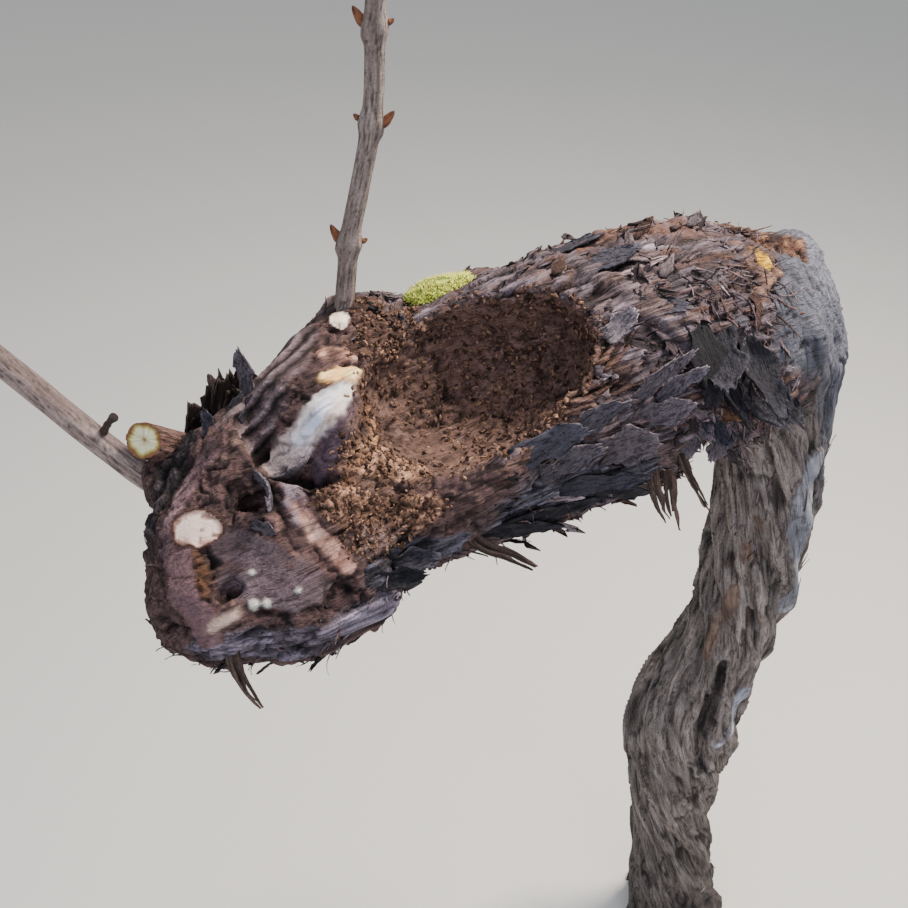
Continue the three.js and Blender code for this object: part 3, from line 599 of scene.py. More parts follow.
def bark(p):
    """The surface at each point of the old wood: how far it stands out in mm, its colour, and how bare it is.
    Kinds of bark and bare wood are laid over each other by masks. A mask is 1 within some stations, and its
    edge is ragged."""
    trunk, arm, belongs = grain(p)
    relief, colour, bare = np.zeros(len(p)), np.zeros((len(p), 3)), np.zeros(len(p))
    kinds = (1 - belongs, trunk, strands, TRUNK_TONES), (belongs, arm, flaked, ARM_TONES)
    for own, q, surface, tones in kinds:
        on = own > 0
        if on.any():
            height, tone = surface(q[on], tones)
            relief[on] += own[on] * height
            colour[on] += own[on][:, None] * tone
    ragged = 2.4 * lumps(p / 7, 51) + 1.4 * lumps(p / 2.6, 52)
    drift = lumps(p / 24, 53)
    here = np.arange(len(p))

    def near(stations, soft=2.0):
        """A mask that is 1 within round stations. Soft is how wide its edge is to either side, in mm."""
        return ease(chain(p, stations) + ragged, soft, -soft)

    def plain(on, height, tone):
        """A surface without a pattern: one height and colour, or one for each point."""
        return np.broadcast_to(height, len(p))[on], np.broadcast_to(tone, (len(p), 3))[on]

    def darken(mask, hex_colour):
        """Moves the colour towards another by a mask."""
        colour[:] += mask[:, None] * (linear(hex_colour) - colour)

    def lay(mask, surface, q, *how, smooth=0.0):
        """Covers what was there by a mask, with a kind of surface that is worked out from the places q."""
        on = mask > 0
        if on.any():
            height, tone = surface(q[on], *how)
            relief[on] += mask[on] * (height - relief[on])
            colour[on] += mask[on][:, None] * (tone - colour[on])
            bare[on] += mask[on] * (smooth - bare[on])

    # The arm: rust-brown across its front, and dark layered bark fanning out below it
    crest = near([
        [-158, -36, 671, 5], [-136, -58, 674, 6], [-113, -76, 669, 7], [-90, -80, 658, 7], [-84, -90, 640, 6],
    ], 3)
    lay(crest, layers, arm, "2c2729 4d4348 6b5f68 5c4740 8b7f8b")
    relief += 2.5 * crest
    ridge = near([[-132, -28, 676, 8], [-108, -22, 678, 10], [-84, -14, 676, 10]], 6)
    lay(ridge, crumbled, arm, "241a1a 48342f 66493d 58484b 8a6e64", 54)
    relief += ridge * (3.5 + 2.0 * lumps(p / 7, 55))
    rust = near([[-193, -152, 608, 9], [-170, -138, 628, 12], [-150, -116, 642, 15], [-128, -100, 652, 12]], 5)
    lay(rust * ease(drift, -0.5, 0.1), flaked, arm, RUST_TONES)
    skirt = near([
        [-182, -148, 594, 12], [-150, -134, 598, 15], [-120, -118, 597, 14], [-100, -104, 588, 11],
    ], 4)
    lay(skirt, layers, arm, SKIRT_TONES)

    # The crown: silver on its right side, rotten on top, dark and smooth where it turns to the arm
    silver = near([
        [10, 30, 650, 30], [-2, -10, 650, 34], [-24, -42, 650, 16], [-30, -52, 634, 15], [10, -24, 620, 26],
        [14, -24, 596, 20], [22, -10, 560, 18], [24, -2, 500, 12],
    ], 5)
    lay(silver, smooth_wood, trunk + [0, 0, 9], SILVER_TONES, 0.35, 61, smooth=0.2)
    wrinkled = 0.75 * silver * np.maximum(ease(p[:, 0], -8, 14), ease(p[:, 2], 605, 580))
    lay(wrinkled, strands, trunk + [0, 40, 0], SILVER_TONES)
    colour *= (1 - 0.45 * silver * ease(p[:, 0] + 0.4 * p[:, 2] - 260, 6, -30))[:, None]
    # Pits in the silver wood, sunk and darkened with painted shade
    if silver.any():
        pits = ease(lumps(arm / [5, 5, 9], 65) + 0.4 * lumps(p / 2.6, 67), 0.5, 0.85) * silver
        relief -= 1.4 * pits
        darken(0.55 * pits, "2a2422")
    panel = near([[-60, -69, 649, 9], [-58, -80, 634, 11], [-54, -84, 614, 11]], 3)
    lay(panel, smooth_wood, trunk, "302c31 4a4650 5a5660", 0.15, 66)
    rot = near([[-52, 12, 660, 17], [-38, 6, 656, 20], [-20, 14, 656, 17], [-40, 24, 655, 14]])
    lay(rot, crumbled, trunk, "1c1213 3d2b29 5d4339 86604c b08a6c", 68)
    crumb = near([[-43, -25, 663, 12], [-50, -43, 659, 9]])
    lay(crumb, crumbled, trunk, "241a1b 4d3c3c 70564c 96765c", 71)
    lichen = near([[-44, -20, 665, 4], [-42, -27, 663, 3.5]], 1)
    lay(lichen, crumbled, trunk, "8a5c1c c99a2c d8b04a", 72)

    # The head: purple-brown old wood, partly crumbling, with bark folded in sheets beside the long cut
    along = (p - ARM_START) @ ARM_DIRECTION
    head = ease(along + 1.6 * ragged, 0.69 * ARM_LENGTH, 0.76 * ARM_LENGTH)
    head = head * ease(p[:, 1] + 1.5 * ragged, -62, -84)
    lay(head, smooth_wood, arm, HEAD_TONES, 0.5, 74)
    lay(head * ease(drift + 0.2 * ragged, -0.2, 0.2), crumbled, arm, HEAD_TONES, 75)
    # Painted shade in creases where the head's swellings meet: dark lines along which smooth noise changes
    # its sign
    crease = 1 - ease(np.abs(lumps(p / 13, 131) + 0.45 * lumps(p / 5, 132)), 0.02, 0.2)
    crease = crease * head * ease(lumps(p / 20, 133), -0.3, 0.2)
    relief -= 2.0 * crease
    darken(0.75 * crease, "120c0c")
    sheets = near([[-266, -92, 660, 7], [-272, -112, 657, 9], [-280, -126, 648, 11], [-289, -136, 636, 11]], 3)
    if sheets.any():
        # each sheet steps up towards the cut and ends in a rounded, paler edge. Its colour follows its height,
        # with painted shade where it is low at the foot of each step
        cut_edge = [[-246, -121, 655, 0], [-257, -139, 648, 0], [-271, -144, 634, 0], [-282, -150, 622, 0]]
        wander = 4.5 * lumps(p / 17, 85) + 0.9 * lumps(p / 7, 86) + 0.4 * lumps(p / 2.4, 87)
        step = (chain(p, cut_edge) + wander) / SHEET_WIDTH
        part = step - np.floor(step)
        part = (1 - part) * ease(part, 0, 0.24)
        tone = ramp("151010 443739 5c4d50 6f6064 968a90", part + 0.14 * lumps(p / 5, 88))
        lay(sheets, plain, here, 3.4 * part**1.5 - 1.0 + 0.4 * lumps(p / 2.6, 89), tone, smooth=0.2)
    for salt, (kind, out, smooth, colours, stations) in enumerate(PATCHES + TRUNK_PATCHES):
        q = trunk if salt >= len(PATCHES) else arm
        reach = chain(p, stations)
        if reach.min() > 4:
            continue
        size = min(1.0, np.mean(np.array(stations)[:, 3]) / 5)
        frayed = lumps(q / [2.4, 2.4, 9], 123)
        mask = ease(reach + size * (0.8 * ragged + frayed * (smooth < 0.5)), 1.3, -1.3)
        if size < 0.8:
            mask = mask * (0.25 + 0.75 * ease(lumps(p / 7, 126 + salt), -0.45, 0.05))

        def broken(on):
            """The patch's own surface, raised by its own step. Bare wood gets dirt towards its edge."""
            if kind == "smooth":
                height, tone = smooth_wood(q[on] + 7 * salt, colours, 0.3, 120)
                edge = ease(reach[on] / size, -3, 1)
                dirt = ease(lumps(p[on] / 5, 124) + 0.5 * lumps(p[on] / 2.4, 125) + edge, 0.3, 1)
                tone = mix(tone * (1 + 0.1 * lumps(p[on] / 2.4, 122))[:, None], linear("4a322c"), 0.55 * dirt)
                height = 0.5 * height
            elif kind == "layers":
                height, tone = layers(q[on], colours)
            else:
                height, tone = crumbled(q[on] + 7 * salt, colours, 121)
            return height + out, tone

        lay(mask, broken, here, smooth=smooth)

    # The scoop: brown and crumbly, with the saw's arcs scraped across it, and a ragged rim
    bowl, mouth = chain(p, SCOOP), chain(p, SCOOP_MOUTH)
    scoop = np.maximum(ease(bowl + 0.6 * ragged, 3.5, 0.5), ease(mouth + 0.8 * ragged, 3, 0))
    for patch in SCOOP_SIDE:
        scoop = np.minimum(scoop, ease(chain(p, patch[4]) + 0.5 * ragged, 0, 3))
    swing = np.linalg.norm(p - [-150, -60, 700], axis=1) + 1.5 * lumps(p / 9, 91)
    arc = np.sin(2 * np.pi * swing / 5.5) * ease(lumps(p / 14, 94), -0.2, 0.5)

    def scraped(on):
        """Crumbs in patches, with faint arcs 5.5 mm apart."""
        height, tone = crumbled(arm[on] + [0, 0, 40], "2c1f1b 543e37 6e5650 5a4238 80685e", 77)
        crumbs = 0.35 + 0.65 * ease(lumps(p[on] / 16, 99), -0.3, 0.3)
        tone = mix(linear("5c463e") * np.ones((len(on), 1)), tone, crumbs)
        return crumbs * height + 0.3 * arc[on], tone * (1 + 0.08 * arc[on])[:, None]

    lay(scoop, scraped, here, smooth=0.3)
    rim = ease(np.abs(bowl - 1.5 + 0.5 * ragged), 4, 1) * (1 - scoop * 0.5)
    relief += rim * (1.6 * lumps(p / 5, 92) + 1.2 * lumps(p / 2.2, 93))

    # Bare saw cuts with dark rims, and pale spots of lichen
    for at, faces, size, colours in SAWN:
        front, away = cut_face(p, (at, faces, 0))
        level = on_wood(np.array([1.0, 0, 0]), unit(np.array(faces)))
        across = (p - at) @ level
        share = np.hypot(across / size[0], np.sqrt(np.maximum(away**2 - across**2, 0)) / size[1])
        share = share + (0.04 * ragged + 0.08 * lumps(p / 4, 95)) * 5 / size[0] + (np.abs(front) > 6)
        below = ease((at[2] - p[:, 2]) / size[1], -0.1, 0.9)
        share = share + below * ease(lumps(p / 4.5, 98), -0.3, 0.6) * 0.05 * size[0]
        tone = ramp(colours, 0.6 + 0.3 * lumps(p / 4, 96) - 0.3 * ease(share, 0.7, 1))
        tone = mix(tone, linear("5a3628"), 0.75 * ease(lumps(p / 2.3, 97), 0.42, 0.7))
        lay(ease(share, 1.3, 1.1), plain, here, 0.5, linear("3a2520"), smooth=0.3)
        lay(ease(share, 1.06, 0.97), plain, here, -0.3, tone, smooth=0.9)
    nearest = np.min([np.linalg.norm(p - s[:3], axis=1) - s[3] for s in SPOTS], axis=0)
    spot = ease(nearest + 0.4 * ragged, 0.8, -0.8)
    lay(spot, plain, here, 1.0, linear("b9b8b0"), smooth=0.2)

    # Painted shade darkens the trunk's foot towards its lower right. Hollow places get painted shade, and edges
    # that stand out get a painted highlight, by how far they stand out.
    colour *= (1 - 0.5 * ease(p[:, 2] - 0.8 * p[:, 0], 230, 70))[:, None]
    colour *= (1 + 0.11 * np.clip(relief + 0.3, -3.5, 2.5))[:, None]
    return relief, np.clip(colour, 0, 0.95), bare


def place(name, points, faces, material, node, slot, **marks):
    """Makes a mesh from points in mm and arrays of faces, with named values at each point, and gives it to the
    frame in place of its node. The value named tint is a colour."""
    faces = [np.asarray(group) for group in (faces if isinstance(faces, list) else [faces])]
    mesh = bpy.data.meshes.new(name)
    mesh.vertices.add(len(points))
    mesh.vertices.foreach_set("co", (points / 1000).astype(np.float32).ravel())
    corners = np.concatenate([group.ravel() for group in faces]).astype(np.int32)
    sides = np.concatenate([np.full(len(group), group.shape[1]) for group in faces])
    mesh.loops.add(len(corners))
    mesh.loops.foreach_set("vertex_index", corners)
    mesh.polygons.add(len(sides))
    mesh.polygons.foreach_set("loop_start", (np.cumsum(sides) - sides).astype(np.int32))
    mesh.update(calc_edges=True)
    mesh.validate()
    mesh.shade_smooth()
    for mark, value in marks.items():
        value = np.asarray(value, np.float32)
        if mark == "tint":
            value = np.concatenate([value, np.ones((len(value), 1), np.float32)], 1)
            mesh.attributes.new(mark, "FLOAT_COLOR", "POINT").data.foreach_set("color", value.ravel())
        elif value.ndim == 2:
            mesh.attributes.new(mark, "FLOAT_VECTOR", "POINT").data.foreach_set("vector", value.ravel())
        else:
            mesh.attributes.new(mark, "FLOAT", "POINT").data.foreach_set("value", value)
    mesh.materials.append(material)
    piece = bpy.data.objects.new(name, mesh)
    bpy.context.collection.objects.link(piece)
    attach(piece, "root")
    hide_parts(node)


def tube(rings):
    """Closes a stack of rings into a skin: squares between neighbouring rings, and a fan in each end."""
    rows, columns = rings.shape[:2]
    index = np.arange(rows * columns).reshape(rows, columns)
    after = np.roll(index, -1, axis=1)
    squares = np.stack([index[:-1], after[:-1], after[1:], index[1:]], -1).reshape(-1, 4)
    low, high = np.full(columns, rows * columns), np.full(columns, rows * columns + 1)
    fans = np.concatenate([np.stack([after[0], index[0], low], -1), np.stack([index[-1], after[-1], high], -1)])
    return np.concatenate([rings.reshape(-1, 3), [rings[0].mean(0), rings[-1].mean(0)]]), [squares, fans]


GRIT, BUMP = 0.0013, 0.0012  # metres: how wide a speck of grit is, and how deep the threads and cracks look


def old_bark(name, thread, contrast, rough, crack):
    """Dry bark or bare old wood: dull, with threads along the grain that catch the light, and a fine grit.
    Thread is the width of the threads in mm, which are 20 times as long, and contrast is how much they differ.
    Between them run wider cracks, painted with shade as dark as the share crack. Where the wood is bare, all of
    this fades."""
    material, tree, shader = new_material(name)
    tint, bare, run = (
        add_node(tree, "ShaderNodeAttribute", attribute_name=mark) for mark in ("tint", "bare", "grain")
    )
    at = add_node(tree, "ShaderNodeTexCoord")

    def stretched(across, along):
        """The place in the grain's own axes, counted in threads and scaled across the grain and along it."""
        factor, source = {1: (across / thread, across / thread, along / thread)}, {0: run.outputs["Vector"]}
        return add_node(tree, "ShaderNodeVectorMath", factor, source, operation="MULTIPLY").outputs[0]

    def maths(operation, *sources):
        """A calculation on sockets. A plain number may take the place of one."""
        values = {i: source for i, source in enumerate(sources) if isinstance(source, float)}
        links = {i: source for i, source in enumerate(sources) if i not in values}
        return add_node(tree, "ShaderNodeMath", values, links, operation=operation).outputs[0]

    threads = noise(tree, stretched(1, 0.05), 5, 0.6)
    grit = noise(tree, at.outputs["Object"], 4, 0.6, scale=1 / GRIT)
    cracks = noise(tree, stretched(0.45, 0.03), 3, 0.55, distortion=0.4)
    open_crack = remap(tree, cracks, 0.39, 0.46, crack, 1.05)
    streak = remap(tree, threads, 0.32, 0.68, 1 - contrast, 1 + contrast)
    speck = remap(tree, grit, 0.3, 0.7, 0.72, 1.28)
    level = maths("MULTIPLY", maths("MULTIPLY", streak, open_crack), speck)
    calm = add_node(tree, "ShaderNodeMix", {3: 1.0}, {0: bare.outputs["Fac"], 2: level}, data_type="FLOAT")
    set_tone(tree, shader, tint.outputs["Color"], calm.outputs[0])
    height = maths("MULTIPLY_ADD", open_crack, 0.6, maths("MULTIPLY_ADD", grit, 0.6, threads))
    firm = remap(tree, bare.outputs["Fac"], 0, 1, 1, 0.35)
    bump = add_node(tree, "ShaderNodeBump", {"Distance": BUMP}, {"Strength": firm, "Height": height})
    tree.links.new(bump.outputs[0], shader.inputs["Normal"])
    shader.inputs["Roughness"].default_value = rough
    shader.inputs["Specular IOR Level"].default_value = 0.25
    return material


# Grey and dry, dull as dust, with fine upright threads
trunk_bark = old_bark("stringy trunk bark", 0.7, 0.3, 0.9, 0.5)
# Rain-washed silver wood with a faint gleam along its fibres
crown_wood = old_bark("silver weathered wood", 0.7, 0.35, 0.8, 0.5)
# Nearly black between flakes that catch the light at their edges
arm_bark = old_bark("dark flaking arm bark", 0.8, 0.5, 0.88, 0.35)
# Warm purple-brown, smoother and calmer where saws have bared it
head_wood = old_bark("purple-brown head wood", 0.8, 0.4, 0.82, 0.5)
surfaces = {}  # for each piece of old wood, its outer points and the way it faces there


def dress(name, points, faces, material, slot):
    """Settles points on the old wood, raises the bark on them, and places the piece over its node. Points that
    were far off the surface close a piece inside the wood and stay where they are."""
    points, facing, off = settled(points)
    surface = ease(off, 4, 1)
    relief, colour, bare = bark(points)
    facing[:, 2] *= ease(points[:, 2], 0, 5)
    raised = points + facing * (relief * surface)[:, None]
    raised[:, 2] = np.maximum(raised[:, 2], 0)
    trunk, arm, belongs = grain(points)
    grown = {"tint": colour, "grain": mix(trunk, arm, belongs), "bare": bare}
    place(name + "_wood", raised, faces, material, name, slot, **grown)
    surfaces[name] = raised[surface > 0.9], facing[surface > 0.9]


# The trunk: rings 1.2 mm apart. Each point is found on a ray from the trunk's middle, by halving the stretch
# between a place inside the wood and one outside it.
TRUNK_TOP = CROWN_UNDERSIDE + 1.5
TRUNK_MESH = (440, 220)  # rings, and points on each
INSIDE, OUTSIDE, HALVINGS = 5.0, 80.0, 16
heights = np.linspace(0, TRUNK_TOP, TRUNK_MESH[0])[:, None] * np.ones(TRUNK_MESH[1])
angles = turns(TRUNK_MESH[1]) * np.ones((TRUNK_MESH[0], 1))
rays = np.stack([np.cos(angles), np.sin(angles), np.zeros_like(angles)], -1)
middle = np.stack([table_curve(TRUNK_COURSE, 1, heights), np.zeros_like(heights), heights], -1)
shut, open_end = np.full(heights.shape, INSIDE), np.full(heights.shape, OUTSIDE)
for _ in range(HALVINGS):
    half = (shut + open_end) / 2
    within = old_wood(middle + rays * half[..., None]) < 0
    shut, open_end = np.where(within, half, shut), np.where(within, open_end, half)
points, faces = tube(middle + rays * shut[..., None])
dress("trunk", points, faces, trunk_bark, "trunk_bark")


def between(start, end):
    """The old wood above the trunk, between two shares of the arm. Each end runs 1 mm into its neighbour."""

    def distance(p):
        """Distance to that stretch, negative inside it."""
        along = (p - ARM_START) @ ARM_DIRECTION
        d = np.maximum(old_wood(p), CROWN_UNDERSIDE - 1 - p[..., 2])
        if start is not None:
            d = np.maximum(d, start * ARM_LENGTH - 1 - along)
        if end is not None:
            d = np.maximum(d, along - end * ARM_LENGTH - 1)
        return d

    return distance


# The other three, each in its own box of cubes a little over 1 mm wide
for name, ends, low, high, step, material, slot in (
    ("crown", (None, CROWN_SHARE), (-150, -105, 537), (44, 84, 684), 1.1, crown_wood, "weathered_wood"),
    ("arm", (CROWN_SHARE, HEAD_SHARE), (-246, -170, 537), (-50, 22, 688), 1.07, arm_bark, "arm_bark"),
    ("head", (HEAD_SHARE, None), (-336, -222, 537), (-170, -10, 680), 1.0, head_wood, "head_wood"),
):
    points, faces = skin(between(*ends), low, high, step)
    dress(name, points, faces, material, slot)

# Canes
# Last year's two shoots, grown hard and bare: thin lilac-brown bark with fine cracks, swollen at each node,
# which carries a pointed bud. They grow out of the head and were pruned with a slanting cut above the last bud.
# A course is where the cane's middle runs, radii are those of its foot and tip, nodes are shares of its length.
BACKWARD = np.array([0, 1.0, 0])
CANES = {
    "cane_upright": {
        "course": [
            [-255, -77, 640], [-250, -71, 662], [-245, -69, 697], [-233, -66, 750], [-229, -67, 798],
            [-222, -70, 900], [-226, -62, 1010], [-216, -50, 1100],
        ],
        "radii": (4.6, 3.2),
        "nodes": [0.122, 0.24, 0.325, 0.46, 0.6, 0.74, 0.88],
        "tones": "564a45 80726b 988b86 71635c",
    },
    "cane_side": {
        "course": [
            [-306, -137, 588], [-334, -136, 612], [-354, -132, 630], [-383, -127, 661], [-410, -123, 690],
            [-455, -112, 735], [-505, -100, 775], [-560, -85, 800], [-620, -70, 812],
        ],
        "radii": (6.1, 4.2),
        "nodes": [0.36, 0.53, 0.7, 0.87],
        "tones": "54443f 84726f a3918c 735f58",
    },
}
CANE_STEP = 1.3  # mm between a cane's rings
SWELL = 1.5  # mm that a node stands out


def smooth_path(stations, spacing):
    """Evenly spaced points on the centripetal Catmull-Rom curve through stations, the curve's direction at
    each, and how far along each one is. Between two stations the curve is a cubic. Its slopes come from the
    neighbouring stations, weighed by the square roots of their distances."""
    p = np.array(stations, float)
    p = np.concatenate([[2 * p[0] - p[1]], p, [2 * p[-1] - p[-2]]])
    span = np.linalg.norm(np.diff(p, axis=0), axis=1)[:, None] ** 0.5
    chord = np.diff(p, axis=0) / span
    slope = chord[:-1] + chord[1:] - (p[2:] - p[:-2]) / (span[:-1] + span[1:])
    t = np.linspace(0, 1, 80)[:, None, None]
    fine = (2 * t**3 - 3 * t**2 + 1) * p[1:-2] + (3 * t**2 - 2 * t**3) * p[2:-1]
    fine = fine + (t**3 - 2 * t**2 + t) * span[1:-1] * slope[:-1] + (t**3 - t**2) * span[1:-1] * slope[1:]
    fine = fine.transpose(1, 0, 2).reshape(-1, 3)
    run = np.concatenate([[0], np.cumsum(np.linalg.norm(np.diff(fine, axis=0), axis=1))])
    at = np.linspace(0, run[-1], int(run[-1] / spacing) + 2)
    path = np.stack([np.interp(at, run, fine[:, i]) for i in range(3)], -1)
    return path, unit(np.gradient(path, at, axis=0)), at


def round_path(path, direction, radius, slant=0.0):
    """Rings about a path: radius is rows by columns. Slant slides a ring's points along the path by that share
    of how far they lie to the side. Gives the rings and the angle round the path."""
    angle = turns(radius.shape[1]) * np.ones(radius.shape)
    side = unit(np.cross(BACKWARD, direction))
    front = np.cross(direction, side)
    across, out = radius * np.cos(angle), radius * np.sin(angle)
    rings = path[:, None] + across[..., None] * side[:, None] + out[..., None] * front[:, None]
    return rings + (slant * across)[..., None] * direction[:, None], angle


def join(shapes):
    """Several shapes, each of points, faces and named values, as one."""
    points, groups, marks, before = [], {}, {}, 0
    for shape_points, faces, values in shapes:
        for group in faces if isinstance(faces, list) else [faces]:
            groups.setdefault(group.shape[1], []).append(group + before)
        for mark, value in values.items():
            marks.setdefault(mark, []).append(value)
        points.append(shape_points)
        before += len(shape_points)
    joined = [np.concatenate(group) for group in groups.values()]
    return np.concatenate(points), joined, {mark: np.concatenate(value) for mark, value in marks.items()}


def closed_tube(rings, tone, run, bare=0.0):
    """A tube with its colours. Its two end points take the colour of their rings. Its grain runs along it."""
    points, faces = tube(rings)
    tint, grain_at = (
        np.concatenate([value.reshape(-1, 3), [value[0].mean(0), value[-1].mean(0)]]) for value in (tone, run)
    )
    return points, faces, {"tint": tint, "grain": grain_at, "bare": np.full(len(points), bare)}


def bud(at, lean, towards, length, radius, salt):
    """A pointed bud: its radius grows as the square root of the way from its foot and shrinks to the tip as a
    power of what is left. Two scales overlap on it as small steps. It curves towards the cane's tip."""
    share = np.linspace(0, 1, 13)[:, None] * np.ones(14)
    way = share[:, :1]
    path = at + lean * (way * length) + towards * (1.6 * way**2)
    belly = radius * 1.75 * (share + 0.03) ** 0.42 * (1.02 - share) ** 0.62
    scale = 0.12 * np.cos(turns(14) + salt)
    step = ease(share, 0.45 + scale, 0.5 + scale)
    rings, angle = round_path(path, unit(np.gradient(path, axis=0)), belly * (1 - 0.12 * step))
    tone = ramp("3a2a22 6b4431 8a5638 4a3026", share + 0.12 * np.cos(3 * angle))
    run = np.stack([np.cos(angle) * 2 + salt, np.sin(angle) * 2, share * length], -1)
    return closed_tube(rings, tone, run, 0.3)


def cane(course, radii, nodes, tones, salt):
    """A tube with 40 points round it: its radius falls evenly to the tip, swells at each node by a bell curve,
    and carries seven low ridges. Fine cracks are drawn along it."""
    path, direction, at = smooth_path(course, CANE_STEP)
    length = at[-1]
    run = at[:, None] * np.ones(40)
    angle = turns(40) * np.ones(run.shape)
    uneven = lumps(np.stack([np.cos(angle) * 2.2, np.sin(angle) * 2.2, run / 11], -1).reshape(-1, 3), salt)
    radius = radii[0] + (radii[1] - radii[0]) * run / length
    radius = radius + 0.13 * np.cos(7 * angle + 0.6 * np.sin(run / 40)) + 0.22 * uneven.reshape(run.shape)
    buds = []
    for i, node in enumerate(nodes):
        gap = run - node * length
        radius += SWELL * np.exp(-((gap / 4.5) ** 2))
        # the leaf's scar: a small ledge below the bud
        ledge = np.clip(np.cos(angle - (0 if i % 2 else np.pi)), 0, 1) ** 2
        radius += 0.9 * np.exp(-(((gap + 4) / 2.2) ** 2)) * ledge
        j = int(np.argmin(np.abs(at - node * length)))
        side = unit(np.cross(BACKWARD, direction[j])) * (1 if i % 2 else -1)
        lean = unit(side + 1.1 * direction[j])
        thick = radii[0] + (radii[1] - radii[0]) * node + SWELL
        buds.append(bud(path[j] + side * (thick - 1.6) - lean, lean, direction[j], 8.2, 2.5, salt + i))
        scar = path[j] - side * (thick - 0.8) + direction[j] * 1.5
        buds.append(bud(scar, -side, direction[j], 2.6, 1.5, salt + 20 + i))
    slant = 0.7 * ease(run, length - 9, length)
    rings, angle = round_path(path, direction, radius, slant)
    cell = np.stack([np.cos(angle) * 3.2, np.sin(angle) * 3.2, run / 26], -1).reshape(-1, 3)
    share, border, _ = plates(cell * 1.1, salt + 2)
    drift = 0.5 + 0.3 * lumps(cell * [0.6, 0.6, 0.5], salt + 5) + 0.3 * (share - 0.5)
    tone = mix(ramp(tones, drift), linear("2a1f1b"), 0.75 * (1 - ease(border, 0.0, 0.09)))
    marks = np.stack([np.cos(angle) * radii[0], np.sin(angle) * radii[0], run], -1)
    # the slanting cut: pale wood around a brown pith
    end = rings[-1:] - path[-1]
    caps = np.concatenate([path[-1] + end * share for share in (0.93, 0.6, 0.3, 0.12)])
    cut_tone = ramp("5c4a3c c8b896 cbb993 8a6a48", np.linspace(0, 1, 4)[:, None] * np.ones(40))
    rings = np.concatenate([rings, caps])
    tone = np.concatenate([tone.reshape(*angle.shape, 3), cut_tone])
    marks = np.concatenate([marks, marks[-1:] * np.ones((4, 1, 1))])
    return join([closed_tube(rings, tone, marks), *buds])


# Smooth and slightly glossy, so a soft line of light runs along each cane
cane_bark = old_bark("lilac-brown cane bark", 0.5, 0.2, 0.62, 0.78)
for salt, (name, made) in enumerate(CANES.items()):
    shapes = [cane(**made, salt=100 + 40 * salt)]
    if name == "cane_side":
        # the dry stalk that a side shoot left, 17 mm long
        path, direction, at = smooth_path(made["course"], CANE_STEP)
        j = int(0.16 * len(path))
        out = unit(np.cross(BACKWARD, direction[j]))
        out = unit(0.7 * out * np.sign(out[2]) + 0.3 * UP)
        share = np.linspace(0, 1, 24)[:, None] * np.ones(14)
        way = share[:, :1]
        stalk = path[j] + out * (17 * way) + direction[j] * (1.5 * np.sin(3 * way))
        thick = 2.0 - 0.6 * share + 0.9 * np.exp(-(((share - 0.95) / 0.07) ** 2)) + 0.15 * np.cos(30 * share)
        rings, angle = round_path(stalk, unit(np.gradient(stalk, axis=0)), thick)
        run = np.stack([np.cos(angle) * 2, np.sin(angle) * 2, 17 * share], -1)
        shapes.append(closed_tube(rings, ramp("2e2420 4a3a33 39302d", share), run))
    points, faces, values = join(shapes)
    place(name + "_bark", points, faces, cane_bark, name, "cane_bark", **values)

# The cut spur
# A stub of two-year-old wood, 17 mm thick, sawn off square: reddish bark round a pale greenish face with a
# yellow rim, rings of growth and a brown spot of pith.
SPUR_COURSE = [[-304, -108, 598], [-319, -122, 617], [-333, -137, 635]]
SPUR_RADII = (8.4, 7.8)
SPUR_FACES = np.array([-0.2, -0.75, 0.63])  # which way the sawn face looks
path, direction, at = smooth_path(SPUR_COURSE, 0.8)
run = at[:, None] * np.ones(64)
angle = turns(64) * np.ones(run.shape)
q = np.stack([np.cos(angle) * 3, np.sin(angle) * 3, run / 16], -1).reshape(-1, 3)
share, border, _ = plates(q, 201)
radius = SPUR_RADII[0] + (SPUR_RADII[1] - SPUR_RADII[0]) * run / at[-1] + 0.2 * np.cos(3 * angle + 1) - 0.1
radius += (0.45 * (share - 0.5) + 0.3 * ease(border, 0, 0.2) + 0.3 * lumps(q, 205)).reshape(run.shape)
rings, angle = round_path(path, direction, radius)
shift = -((rings - path[:, None]) @ SPUR_FACES) / (direction @ SPUR_FACES)[:, None]
rings = rings + (shift * ease(run, at[-1] - 8, at[-1]))[..., None] * direction[:, None]
tone = ramp("33242a 60443f 86685f 5d4542", 0.5 + 0.6 * (share - 0.5))
tone = mix(tone, linear("1e1411"), 0.8 * (1 - ease(border, 0, 0.12)))
# the face: smaller and smaller copies of the last ring, drawn in towards the pith
shrink = np.concatenate([[0.985, 0.95, 0.9], np.linspace(0.84, 0.04, 14)])[:, None, None]
rim = rings[-1] - path[-1]
lift = 0.12 * np.sin(rim @ [1.3, 0.4, 0.9] * 2.2)[None, :, None] * direction[-1]
caps = path[-1] + (1 - shrink) * [0.6, 0.0, 0.4] + shrink * rim + lift
inwards = 1 - shrink[..., 0] + 0.05 * np.sin(5 * angle[0])
face_tone = ramp("7a4a35 6b5632 a89856 d2cfa8 cfd0ac d6d4b6 d2cba4 c7bd92 8a6238", inwards)
tone = np.concatenate([tone.reshape(*run.shape, 3), face_tone])
marks = np.stack([np.cos(angle) * 8, np.sin(angle) * 8, run], -1)
marks = np.concatenate([marks, marks[-1:] * np.ones((len(caps), 1, 1))])
points, faces, values = closed_tube(np.concatenate([rings, caps]), tone, marks)
values["bare"][run.size :] = 0.8
# Tight reddish bark with a low gloss, calm and pale where it was sawn
spur_wood = old_bark("reddish spur bark and its pale sawn face", 0.6, 0.35, 0.7, 0.6)
place("cut_spur_wood", points, faces, spur_wood, "cut_spur", "spur_wood", **values)


